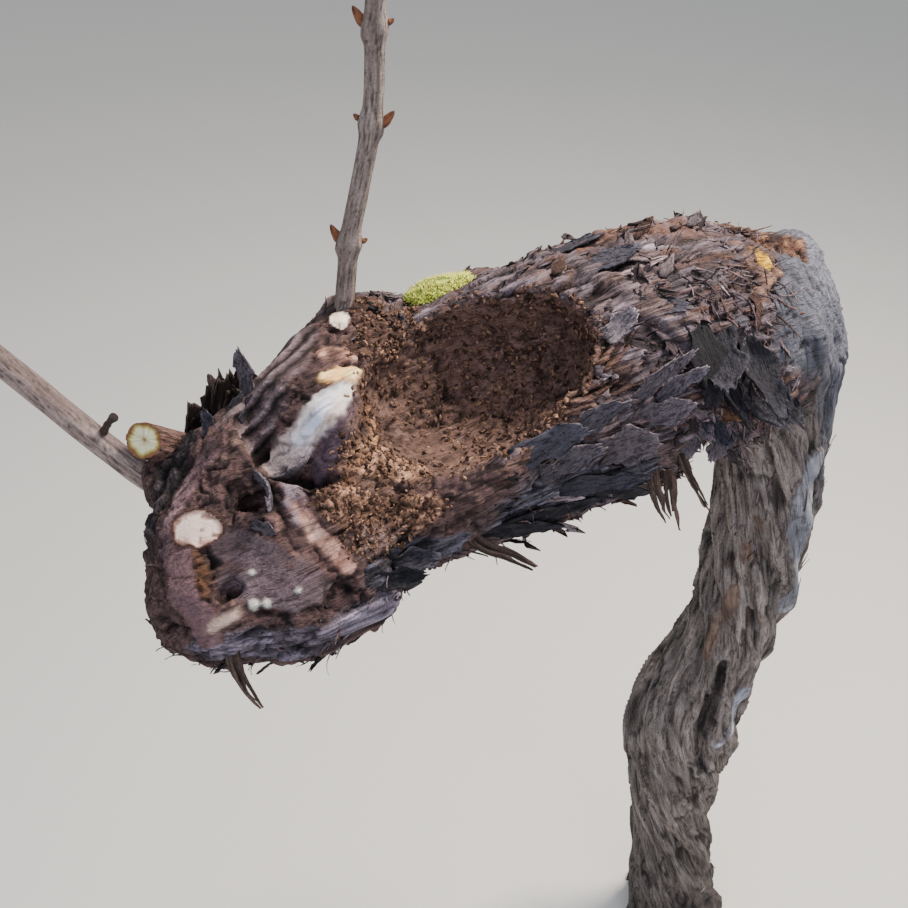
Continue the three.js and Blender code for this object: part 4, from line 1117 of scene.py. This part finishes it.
# Loose bark, dead plates and shreds
# Bark that has come away from the wood: dry flakes and fibres 0.5 to 2 mm thick. Each still hangs by its root.
def torn(
    root, out, along, length, width, thick, lift, curl, bend, droop, colours, salt, columns=5, rows=6, fray=0.5
):
    """Torn plates, one for each root: fibres side by side, each torn off at its own length. A plate rises from
    the wood by the angle lift, which grows by curl towards its tip. Bend turns it sideways, and droop sinks its
    tip by that share of its length. Fray is how much shorter the shortest fibres are. With two columns it is a
    shred, a ribbon that narrows to its tip."""
    number = len(root)
    rng = np.random.default_rng(salt)
    s = np.linspace(0, 1, rows)[None, :]
    across = unit(np.cross(out, along))
    angle = lift[:, None] + curl[:, None] * s**1.5
    stride = (s > 0) / (rows - 1)
    forward, upward = np.cumsum(np.cos(angle) * stride, 1), np.cumsum(np.sin(angle) * stride, 1)
    reach = rng.uniform(1 - fray, 1, (number, 1, columns))
    size = length[:, None, None] * (1 - (1 - reach) * s[..., None] ** 2)
    level = np.linspace(-1, 1, columns)
    if columns > 2:
        # each side of a plate has its own wavy edge, and its tip is rounded
        wave = rng.uniform(0.7, 1.9, (number, 1, 2)) * s[..., None] + rng.uniform(0, 1, (number, 1, 2))
        edge = 1 + 0.24 * np.sin(2 * np.pi * wave)
        half = width[:, None] / 2 * (0.55 + 0.65 * np.sin(np.pi * (0.12 + 0.7 * s)))
        at_side = level * np.where(level < 0, edge[..., :1], edge[..., 1:])
        size = size * (1 - 0.22 * at_side**2 * s[..., None])
    else:
        half = width[:, None] / 2 * (0.75 + 0.45 * s) * np.maximum(1 - s, 0.06) ** 0.6
        at_side = level
    side = half[..., None] * at_side * (1 + fray * rng.uniform(-0.5, 0.3, (number, rows, columns)))
    side = side + (bend[:, None] * length[:, None] * s**2)[..., None]
    bumpy = rng.normal(0, 1, (number, rows, columns)) * np.minimum(0.035 * width + 0.05, 0.4)[:, None, None]
    cup = rng.uniform(-0.12, 0.2 + 0.2 * (columns > 8), (number, 1, 1)) * width[:, None, None] * level**2
    high = size * upward[..., None] + bumpy + cup
    middle = root[:, None, None] + along[:, None, None] * (size * forward[..., None])[..., None]
    middle = middle + across[:, None, None] * side[..., None] + out[:, None, None] * high[..., None]
    middle[..., 2] -= droop[:, None, None] * size * (s**2)[..., None]
    normal = out[:, None] * np.cos(angle)[..., None] - along[:, None] * np.sin(angle)[..., None]
    skin_deep = (thick[:, None] / 2 * (1 - 0.5 * s))[..., None, None] * normal[:, :, None]
    points = np.stack([middle + skin_deep, middle - skin_deep], 1)
    index = np.arange(number * 2 * rows * columns).reshape(number, 2, rows, columns)
    top, low = index[:, 0], index[:, 1]

    # the faces: top, underside, two long sides, tip and root
    faces = [
        np.stack(ring, -1).reshape(-1, 4)
        for ring in (
            (top[:, :-1, :-1], top[:, 1:, :-1], top[:, 1:, 1:], top[:, :-1, 1:]),
            (low[:, :-1, :-1], low[:, :-1, 1:], low[:, 1:, 1:], low[:, 1:, :-1]),
            (top[:, :-1, 0], low[:, :-1, 0], low[:, 1:, 0], top[:, 1:, 0]),
            (top[:, :-1, -1], top[:, 1:, -1], low[:, 1:, -1], low[:, :-1, -1]),
            (top[:, -1, :-1], low[:, -1, :-1], low[:, -1, 1:], top[:, -1, 1:]),
            (top[:, 0, :-1], top[:, 0, 1:], low[:, 0, 1:], low[:, 0, :-1]),
        )
    ]
    # fibres differ in tone, undersides are darker, and tips are paler. Long plates' edges are paler as a
    # painted highlight, and each fibre darkens towards its root as painted shade
    tone = ramp(colours, rng.uniform(0, 1, number))[:, None, None, None]
    streak = 1 + 0.6 * fray * rng.uniform(-1, 1, (number, 1, 1, columns))
    streak = streak * np.array([1, 0.6])[None, :, None, None]
    paler = np.maximum(ease(s, 0.8, 1)[..., None], ease(np.abs(level), 0.7, 1) * (fray < 0.3) * s[..., None])
    streak = streak * (0.62 + 0.38 * s[:, None, :, None] ** 0.5) * (1 + 0.8 * paler[:, None])
    own = rng.uniform(0, 500, (number, 1, 1))
    run = np.stack([side + own, high + own, size * s[..., None] + own], -1)
    values = {
        "tint": np.clip(tone * streak[..., None], 0, 0.9).reshape(-1, 3),
        "grain": np.stack([run, run], 1).reshape(-1, 3),
        "bare": np.zeros(points[..., 0].size),
    }
    return points.reshape(-1, 3), np.concatenate(faces), values


def strew(name, node, slot, *plates_given, **shape):
    """Places torn plates as one piece of loose bark over a node, with none of it below the ground. The rest is
    what torn is given."""
    points, faces, values = torn(*plates_given, **shape)
    points[:, 2] = np.maximum(points[:, 2], 0)
    place(name, points, faces, loose_bark, node, slot, **values)


def scatter(name, weight, number, salt):
    """Random places on a piece of old wood, where weight, a function of the place, is high, and which way the
    wood faces there."""
    points, facing = surfaces[name]
    rng = np.random.default_rng(salt)
    wanted = np.clip(weight(points, facing), 0, None)
    chosen = rng.choice(len(points), number, p=wanted / wanted.sum())
    return points[chosen], facing[chosen], rng


def off_hollows(p):
    """1 on the bark and 0 in the hollows and on the cuts."""
    clear = ease(chain(p, SCOOP), 3, 7) * ease(chain(p, SCOOP_MOUTH), 3, 7)
    for cut in CUTS.values():
        front, away = cut_face(p, cut)
        clear = clear * (1 - ease(np.abs(front), 6, 4) * ease(away, cut[2] + 3, cut[2]))
    return clear


MOSS_AT, MOSS_SIZE = np.array([-203, -44, 654.0]), np.array([23, 11, 9.0])  # its middle, and half its extent
# Brittle and fibrous: dry threads that catch the light along torn edges
loose_bark = old_bark("dry fibrous loose bark", 0.6, 0.45, 0.85, 0.5)


def fan_out(p, facing, turn):
    """Directions laid in the surface: along the arm towards the crown, and down where arm and trunk meet. Low
    on the arm's front they fan out from a point under the scoop's mouth. Turn is an angle added to each."""
    sweep = ease(p[:, 0], -125, -65)[:, None] * ease(p[:, 1], -20, -60)[:, None]
    way = -ARM_DIRECTION * (1 - sweep) - UP * sweep
    share = ease(p[:, 2] + 0.3 * p[:, 0], 570, 545)[:, None]
    way = on_wood(way * (1 - share) + unit(p - [-215, -165, 588]) * share, facing)
    return on_wood(way * np.cos(turn)[:, None] + np.cross(facing, way) * np.sin(turn)[:, None], facing)


# Where loose bark is strewn: a weight at each point of a piece, from where it lies and the way it faces


def bark_of_arm(p, facing):
    """All over the arm's bark, but not on the moss."""
    return off_hollows(p) * ease(np.linalg.norm(p - MOSS_AT, axis=1), 20, 34)


def bark_of_crown(p, facing):
    """The crown's left side, outside the rotten top."""
    left = ease(p[:, 0] + 0.5 * np.maximum(p[:, 2] - 625, 0), -28, -50)
    return off_hollows(p) * left * ease(chain(p, [[-38, 6, 658, 18], [-37, 6, 658, 18]]), 0, 6)


def bark_of_head(p, facing):
    """The head's lower lip and its back."""
    return off_hollows(p) * (ease(p[:, 2], 596, 584) + 0.5 * ease(p[:, 1], -100, -70) + 0.04)


def rotten(p, facing):
    """The scoop, its rim and the rotten patches beside it."""
    bowl = chain(p, SCOOP)
    inside = np.minimum(ease(bowl, 3, 1) + ease(chain(p, SCOOP_MOUTH), 3, 1), 1)
    rotted = np.min([chain(p, patch[4]) for patch in [*SCOOP_SIDE, PATCHES[4]]], axis=0)
    return 0.35 * inside + 1.6 * ease(rotted, 3, -1) + 0.4 * ease(np.abs(bowl - 3), 5, 1)


def underside(p, facing):
    """What looks down on the arm."""
    return off_hollows(p) * ease(facing[:, 2], 0.3, -0.5) * ease(p[:, 2], 540, 546)


def crown_front(p, facing):
    """The crown's front, left of the silver wood, and a little of its top."""
    left = ease(p[:, 0], -20, -40)
    return off_hollows(p) * ease(facing[:, 1], 0.2, -0.4) * left + 0.15 * ease(p[:, 2], 650, 662) * left


def trunk_top(p, facing):
    """The trunk, more and more towards its top."""
    return (0.05 + ease(p[:, 2], 380, 540)) * ease(p[:, 2], 30, 60)


# Small flakes that lie along the grain and lift at their torn ends, many small ones and a few long ones. Sizes
# are the least and greatest length and width, and lifts the least angle and what chance may add to it.
FLAKE_TONES = "211c1d 40363a 5a4e54 33292b 6e6268 52392f 3a3034 857880 63452f"
DARK_TONES = "1d191c 322c32 48424a 5d5662 2a252a 777080"
for name, node, weight, number, sizes, lifts, tones, slot, salt in (
    ("arm_flakes", "arm", bark_of_arm, 1300, (4, 24, 1.6, 7), (-0.04, 0.22), FLAKE_TONES, "arm_bark", 301),
    ("crown_flakes", "crown", bark_of_crown, 700, (4, 22, 1.6, 6.5), (-0.04, 0.26), FLAKE_TONES,
     "weathered_wood", 302),
    ("head_flakes", "head", bark_of_head, 420, (3, 16, 2, 6), (0.0, 0.3), DARK_TONES, "head_wood", 303),
):
    root, facing, rng = scatter(node, weight, number, salt)
    along = fan_out(root, facing, rng.normal(0, 0.6, number))
    big = rng.uniform(0, 1, number) ** 3
    length = sizes[0] + (sizes[1] - sizes[0]) * big
    width = (sizes[2] + (sizes[3] - sizes[2]) * big) * rng.uniform(0.6, 1.2, number)
    strew(
        name, node, slot, root - facing - along * (0.3 * length)[:, None], facing, along, length, width,
        rng.uniform(0.5, 1.1, number), lifts[0] + lifts[1] * rng.uniform(0, 1, number) ** 2.5 * 1.6,
        rng.normal(0.1, 0.4, number), rng.normal(0, 0.15, number), np.zeros(number), tones, salt,
    )

# Crumbs: short thick splinters of brown rotten wood, strewn at all angles in the scoop and on the rotten places
CRUMB_TONES = "2c1d17 5a4034 7c5c4b 48342c 98755f 665049"
for name, node, number, slot, salt in (
    ("arm_crumbs", "arm", 1500, "arm_bark", 305),
    ("head_crumbs", "head", 1500, "head_wood", 306),
):
    root, facing, rng = scatter(node, rotten, number, salt)
    length = rng.uniform(1.6, 5.0, number) * rng.uniform(0.5, 1, number)
    along = fan_out(root, facing, rng.normal(0, 1.4, number))
    strew(
        name, node, slot, root - facing * 0.5, facing, along, length, rng.uniform(0.8, 2.6, number),
        rng.uniform(0.6, 1.3, number), rng.uniform(0, 0.7, number), rng.normal(0, 0.5, number),
        rng.normal(0, 0.3, number), np.zeros(number), CRUMB_TONES, salt, columns=3, rows=4,
    )

# Shreds: thin fibres that curl on the crown, hang from the arm's underside and lie along the trunk's top
SHRED_TONES = "2c2629 4d4248 6f636a 3d3236 5f4640 8d8088"
for name, node, weight, number, sizes, lifts, slot, droop, salt in (
    ("arm_shreds", "arm", underside, 300, (6, 20), (-0.1, 0.25), "arm_bark", 0.3, 311),
    ("crown_shreds", "crown", crown_front, 620, (5, 18), (-0.1, 0.5), "weathered_wood", 0.2, 312),
    ("trunk_shreds", "trunk", trunk_top, 420, (8, 26), (-0.08, 0.08), "trunk_bark", 0.0, 313),
    ("head_shreds", "head", bark_of_head, 420, (4, 13), (-0.1, 0.4), "head_wood", 0.15, 314),
):
    root, facing, rng = scatter(node, weight, number, salt)
    spread, curl, bend = (0.25, 0.1, 0.1) if node == "trunk" else (0.55, 0.8, 0.3)
    turn = rng.normal(0, spread, number)
    along = fan_out(root, facing, turn)
    if node == "trunk":
        along = on_wood(UP * np.cos(turn)[:, None] + np.cross(facing, UP) * np.sin(turn)[:, None], facing)
    length = sizes[0] + (sizes[1] - sizes[0]) * rng.uniform(0, 1, number) ** 1.5
    strew(
        name, node, slot, root - facing * 0.6 - along * (0.3 * length)[:, None], facing, along, length,
        rng.uniform(0.6, 1.8, number), rng.uniform(0.35, 0.7, number), rng.uniform(*lifts, number),
        rng.normal(0, curl, number), rng.normal(0, bend, number), droop * rng.uniform(0, 1, number),
        SHRED_TONES, salt, columns=2, rows=7, fray=0.1,
    )

# Broad plates, each where the real vine has one: its root, its tip, width, lift, curl and tone from 0 to 1
BROAD = {
    "crown": [
        [-88, -74, 662, -80, -94, 622, 16, 0.2, -0.7, 0.1], [-80, -74, 656, -72, -92, 610, 14, 0.1, 0.4, 0.0],
        [-74, -73, 652, -63, -84, 620, 17, 0.2, 0.5, 0.2], [-60, -72, 646, -52, -80, 608, 16, 0.2, 0.2, 0.0],
        [-62, -74, 630, -48, -76, 598, 15, 0.3, 0.7, 0.3], [-46, -70, 624, -34, -64, 594, 12, 0.2, 0.5, 0.0],
        [-68, -86, 608, -67, -92, 588, 15, 0.25, -0.2, 0.75],
        [-84, -96, 612, -82, -98, 596, 14, 0.2, -0.2, 0.7], [-78, -94, 618, -72, -96, 600, 9, 0.3, 0.5, 0.3],
        [-90, -92, 628, -80, -94, 604, 9, 0.2, 0.6, 0.8],
    ],
    "arm": [
        [-133, -125, 618, -108, -112, 622, 17, 0.12, 0.35, 0.8],
        [-114, -113, 627, -92, -101, 632, 12, 0.15, 0.4, 0.9],
        [-114, -109, 638, -97, -90, 654, 6, 0.35, 0.3, 0.95],
        [-106, -106, 635, -89, -90, 646, 7, 0.3, 0.5, 0.85],
        [-120, -112, 636, -104, -96, 652, 5, 0.3, 0.2, 0.9],
        [-172, -142, 626, -144, -125, 636, 13, 0.1, 0.3, 0.5],
        [-160, -138, 616, -134, -124, 624, 12, 0.12, 0.25, 0.6],
        [-150, -128, 630, -126, -112, 640, 10, 0.1, 0.4, 0.7],
        [-131, -96, 662, -117, -85, 665, 9, 0.15, 0.5, 1.0],
        [-180, -149, 604, -140, -130, 606, 9, 0.05, 0.1, 0.3],
        [-176, -147, 592, -132, -124, 588, 10, 0.04, 0.1, 0.1],
        [-186, -151, 590, -150, -136, 580, 9, 0.03, 0.1, 0.0],
        [-150, -134, 604, -112, -114, 602, 10, 0.06, 0.2, 0.2],
        [-146, -131, 592, -106, -108, 584, 10, 0.06, 0.2, 0.1],
        [-156, -40, 672, -128, -34, 678, 10, 0.04, 0.15, 0.2],
        [-140, -60, 676, -112, -50, 679, 11, 0.12, 0.3, 0.4],
        [-172, -58, 668, -150, -54, 674, 9, 0.05, 0.2, 0.3], [-120, -76, 670, -92, -74, 662, 9, 0.05, 0.1, 0.5],
    ],
    "head": [
        [-281, -164, 637, -262, -170, 634, 6, 0.5, 1.1, 1.0],
        [-275, -158, 632, -262, -172, 628, 5, 0.6, 1.0, 0.8],
        [-281, -179, 625, -266, -182, 621, 4, 0.4, 0.6, 0.9],
        [-224, -175, 598, -208, -163, 592, 9, 0.15, 0.4, 0.2],
        [-232, -182, 594, -216, -171, 588, 8, 0.15, 0.3, 0.1],
        [-288, -122, 646, -284, -102, 652, 7, 0.3, 0.4, 0.6],
        [-292, -132, 640, -288, -112, 647, 8, 0.35, 0.3, 0.3],
        [-296, -140, 638, -298, -122, 646, 7, 0.5, 0.3, 0.1],
        [-300, -146, 636, -304, -130, 644, 6, 0.5, 0.3, 0.2],
    ],
}
BROAD_TONES = "1d1c21 2f2e36 3d3b46 4b4954 5b5258 6a626d 8c8288".split()
for (node, rows), slot in zip(BROAD.items(), ("weathered_wood", "arm_bark", "head_wood")):
    shapes = []
    for i, row in enumerate(np.array(rows, float)):
        root, facing, _ = settled(row[None, :3])
        reach = row[None, 3:6] - root
        width, lift, curl, tone = row[6:, None]
        first_tone = int(tone[0] * 5)
        shapes.append(torn(
            root - facing * 0.8, facing, on_wood(reach, facing), np.linalg.norm(reach, axis=1) * 1.15,
            width, np.array([1.2]), lift, curl, np.zeros(1), np.zeros(1),
            " ".join(BROAD_TONES[first_tone : first_tone + 2]), 330 + i, columns=14, rows=14, fray=0.14,
        ))
    points, faces, values = join(shapes)
    place(node + "_plates", points, faces, loose_bark, node, slot, **values)

# The strips that hang under the arm, each split into narrow ribbons with ragged ends: the strip's width, and
# its line from where it is still fast down to its end
BARK_STRIPS = {
    "bark_strip_left": (8, [[-104, -102, 600], [-102, -107, 587], [-97, -105, 572], [-90, -102, 553]]),
    "bark_strip_middle": (7, [[-96, -94, 598], [-93, -102, 584], [-89, -100, 567], [-82, -97, 545]]),
    "bark_strip_right": (5, [[-92, -92, 604], [-84, -95, 587], [-74, -90, 566], [-62, -84, 544]]),
    "bark_strip_arm": (9, [[-198, -144, 594], [-186, -152, 587], [-172, -152, 580], [-160, -150, 570]]),
    "bark_strip_head": (7, [[-292, -202, 585], [-289, -211, 575], [-284, -216, 564], [-276, -219, 553]]),
}
RIBBON = 1.9  # mm, about how wide each ribbon is


def hanging_strip(width, line, salt):
    """Ribbons side by side along a line. Each is a thin flat section carried along it, which narrows to its
    end, wavers by smooth noise, and ends at its own length."""
    path, direction, at = smooth_path(line, 1.1)
    sides = unit(np.cross(BACKWARD, direction))
    fronts = np.cross(direction, sides)
    rng = np.random.default_rng(salt)
    number = max(3, int(width / RIBBON))
    shapes = []
    for i in range(number):
        rows = int(len(at) * (1 - 0.28 * rng.uniform() ** 1.5))
        s = np.linspace(0, 1, rows)
        side, front, t = sides[:rows], fronts[:rows], at[:rows]
        centre = (i + 0.5) / number - 0.5
        wander = np.stack([t / 9, np.full(rows, i * 3.1), np.full(rows, salt * 1.0)], -1)
        offset = centre * width * (1 - 0.45 * s) + 0.9 * lumps(wander, 401) * s
        depth = 0.9 * lumps(wander, 402) * s + 3 * (centre**2) * (1 - s) + 0.25 * (i % 2)
        half = width / number * 0.66 * np.maximum(1 - s, 0.04) ** 0.35
        half = half * (1 + 0.25 * lumps(wander * [3, 1, 1], 403))
        thick = 0.65 * (1 - 0.5 * s)
        turn = (0.9 * lumps(wander, 404) * s)[:, None]
        flat, thin = side * np.cos(turn) + front * np.sin(turn), front * np.cos(turn) - side * np.sin(turn)
        middle = path[:rows] + side * offset[:, None] + front * depth[:, None]
        section = [(1, -0.5), (1, 0.5), (0, 0.9), (-1, 0.5), (-1, -0.5), (0, -0.1)]
        corners = [middle + flat * (half * a)[:, None] + thin * (thick * b)[:, None] for a, b in section]
        paler = 1 + 0.5 * ease(s, 0.7, 1)
        tone = ramp("2f2521 4a3c36 5e4d45", np.full((rows, 6), rng.uniform())) * paler[:, None, None]
        across = np.array([half * a for a, b in section]).T + i * 7
        run = np.stack([across, np.zeros((rows, 6)), t[:, None] * np.ones(6)], -1)
        shapes.append(closed_tube(np.stack(corners, 1), tone, run))
    return join(shapes)


for salt, (name, (width, line)) in enumerate(BARK_STRIPS.items()):
    points, faces, values = hanging_strip(width, line, 410 + salt)
    place(name + "_ribbons", points, faces, loose_bark, name, "loose_bark", **values)

# Dead plates behind the head: blackish splinters that stand up in three overlapping fans. Their bark looks
# almost burnt, and dull, with coarse threads.
dead_bark = old_bark("splintered blackish dead bark", 0.7, 0.45, 0.9, 0.5)
rng = np.random.default_rng(421)
FANS = np.array([[-313, -104, 606, 34.0], [-304, -99, 612, 40], [-295, -94, 616, 34]])  # foot and height
number = 27
which = np.repeat([0, 1, 2], number // 3)
spread = rng.uniform(-6, 6, number)
fan_side = np.array([math.cos(0.55), math.sin(0.55), 0])
root = FANS[which, :3] + fan_side * spread[:, None]
root = root + rng.uniform(-1.2, 1.2, (number, 1)) * np.cross(fan_side, UP)
along = unit(UP + fan_side * (0.02 * spread + rng.normal(0, 0.1, number))[:, None])
out = on_wood(np.cross(along, fan_side) + rng.normal(0, 0.25, (number, 3)), along)
length = FANS[which, 3] * rng.uniform(0.55, 0.98, number)
points, faces, values = torn(
    root, out, along, length, rng.uniform(6, 11, number), rng.uniform(0.9, 1.8, number),
    rng.normal(0, 0.06, number), rng.normal(0, 0.15, number), rng.normal(0, 0.08, number), np.zeros(number),
    "2a211f 453a37 5d4f4a 352b29", 422, columns=7, rows=10, fray=0.16,
)
place("bark_plates_splinters", points, faces, dead_bark, "bark_plates", "dead_bark", **values)

# Moss
# A living cushion on the arm's top edge, yellow-green and soft: a low mound covered with short pointed shoots.
MOSS_TURN = np.array([[math.cos(0.5), math.sin(0.5), 0], [-math.sin(0.5), math.cos(0.5), 0], [0, 0, 1]])


def mossy(directions, share):
    """Points of the mound in the given directions from its middle. Smooth noise makes it swell by 14 %."""
    swell = 1 + 0.14 * lumps(directions.reshape(-1, 3) * 3, 431).reshape(directions.shape[:-1])
    return (directions * MOSS_SIZE * share * swell[..., None]) @ MOSS_TURN + MOSS_AT


columns, rows = 96, 40
theta = turns(columns)
tip = np.linspace(-0.48 * np.pi, 0.49 * np.pi, rows)[:, None]
ball = np.stack([np.cos(tip) * np.cos(theta), np.cos(tip) * np.sin(theta), np.sin(tip) + 0 * theta], -1)
mound = mossy(ball, 0.93)
tone = ramp("5a6a20 93a236 bcc64c", 0.5 + 0.5 * lumps(ball.reshape(-1, 3) * 7, 432)).reshape(rows, columns, 3)
shapes = [closed_tube(mound, tone, mound)]

# Each shoot is a pyramid on three corners, 1.4 to 3.6 mm high, that leans at random
rng = np.random.default_rng(433)
number = 3600
high, around = np.arcsin(rng.uniform(-0.1, 0.98, number)), rng.uniform(0, 2 * np.pi, number)
normal = np.stack([np.cos(high) * np.cos(around), np.cos(high) * np.sin(around), np.sin(high)], -1)
foot = mossy(normal, 0.9)
lean = unit(unit((normal / MOSS_SIZE) @ MOSS_TURN) + rng.normal(0, 0.5, (number, 3)))
flat = unit(np.cross(lean, rng.normal(size=(number, 3))))
other = np.cross(lean, flat)
thick = rng.uniform(0.3, 0.6, number)[:, None]
corners = [foot + thick * (np.cos(angle) * flat + np.sin(angle) * other) for angle in turns(3)]
points = np.stack([*corners, foot + lean * rng.uniform(1.4, 3.6, number)[:, None]], 1).reshape(-1, 3)
first = 4 * np.arange(number)[:, None]
faces = np.concatenate([first + side for side in ([0, 1, 3], [1, 2, 3], [2, 0, 3], [0, 2, 1])])
shade = ramp("8a9a2c b4c046 dce060 ccd04c", rng.uniform(0, 1, number))
# the shoots' own paler tips get a painted highlight, and their feet painted shade among the others
tone = np.stack([shade * 0.45] * 3 + [shade * 1.2], 1).reshape(-1, 3)  # dark at the foot, pale at the tip
shapes.append((points, faces, {"tint": tone, "grain": points, "bare": np.full(len(points), 0.6)}))
points, faces, values = join(shapes)
# Soft and bright, with a faint sheen on the shoots
living_moss, tree, shader = new_material("living yellow-green moss")
tint = add_node(tree, "ShaderNodeAttribute", attribute_name="tint")
at = add_node(tree, "ShaderNodeTexCoord")
mottle = remap(tree, noise(tree, at.outputs["Object"], 3, scale=700), 0.3, 0.7, 0.7, 1.3)
set_tone(tree, shader, tint.outputs["Color"], mottle)
shader.inputs["Roughness"].default_value = 0.85
shader.inputs["Sheen Weight"].default_value = 0.3
place("moss_shoots", points, faces, living_moss, "moss", "moss", **values)
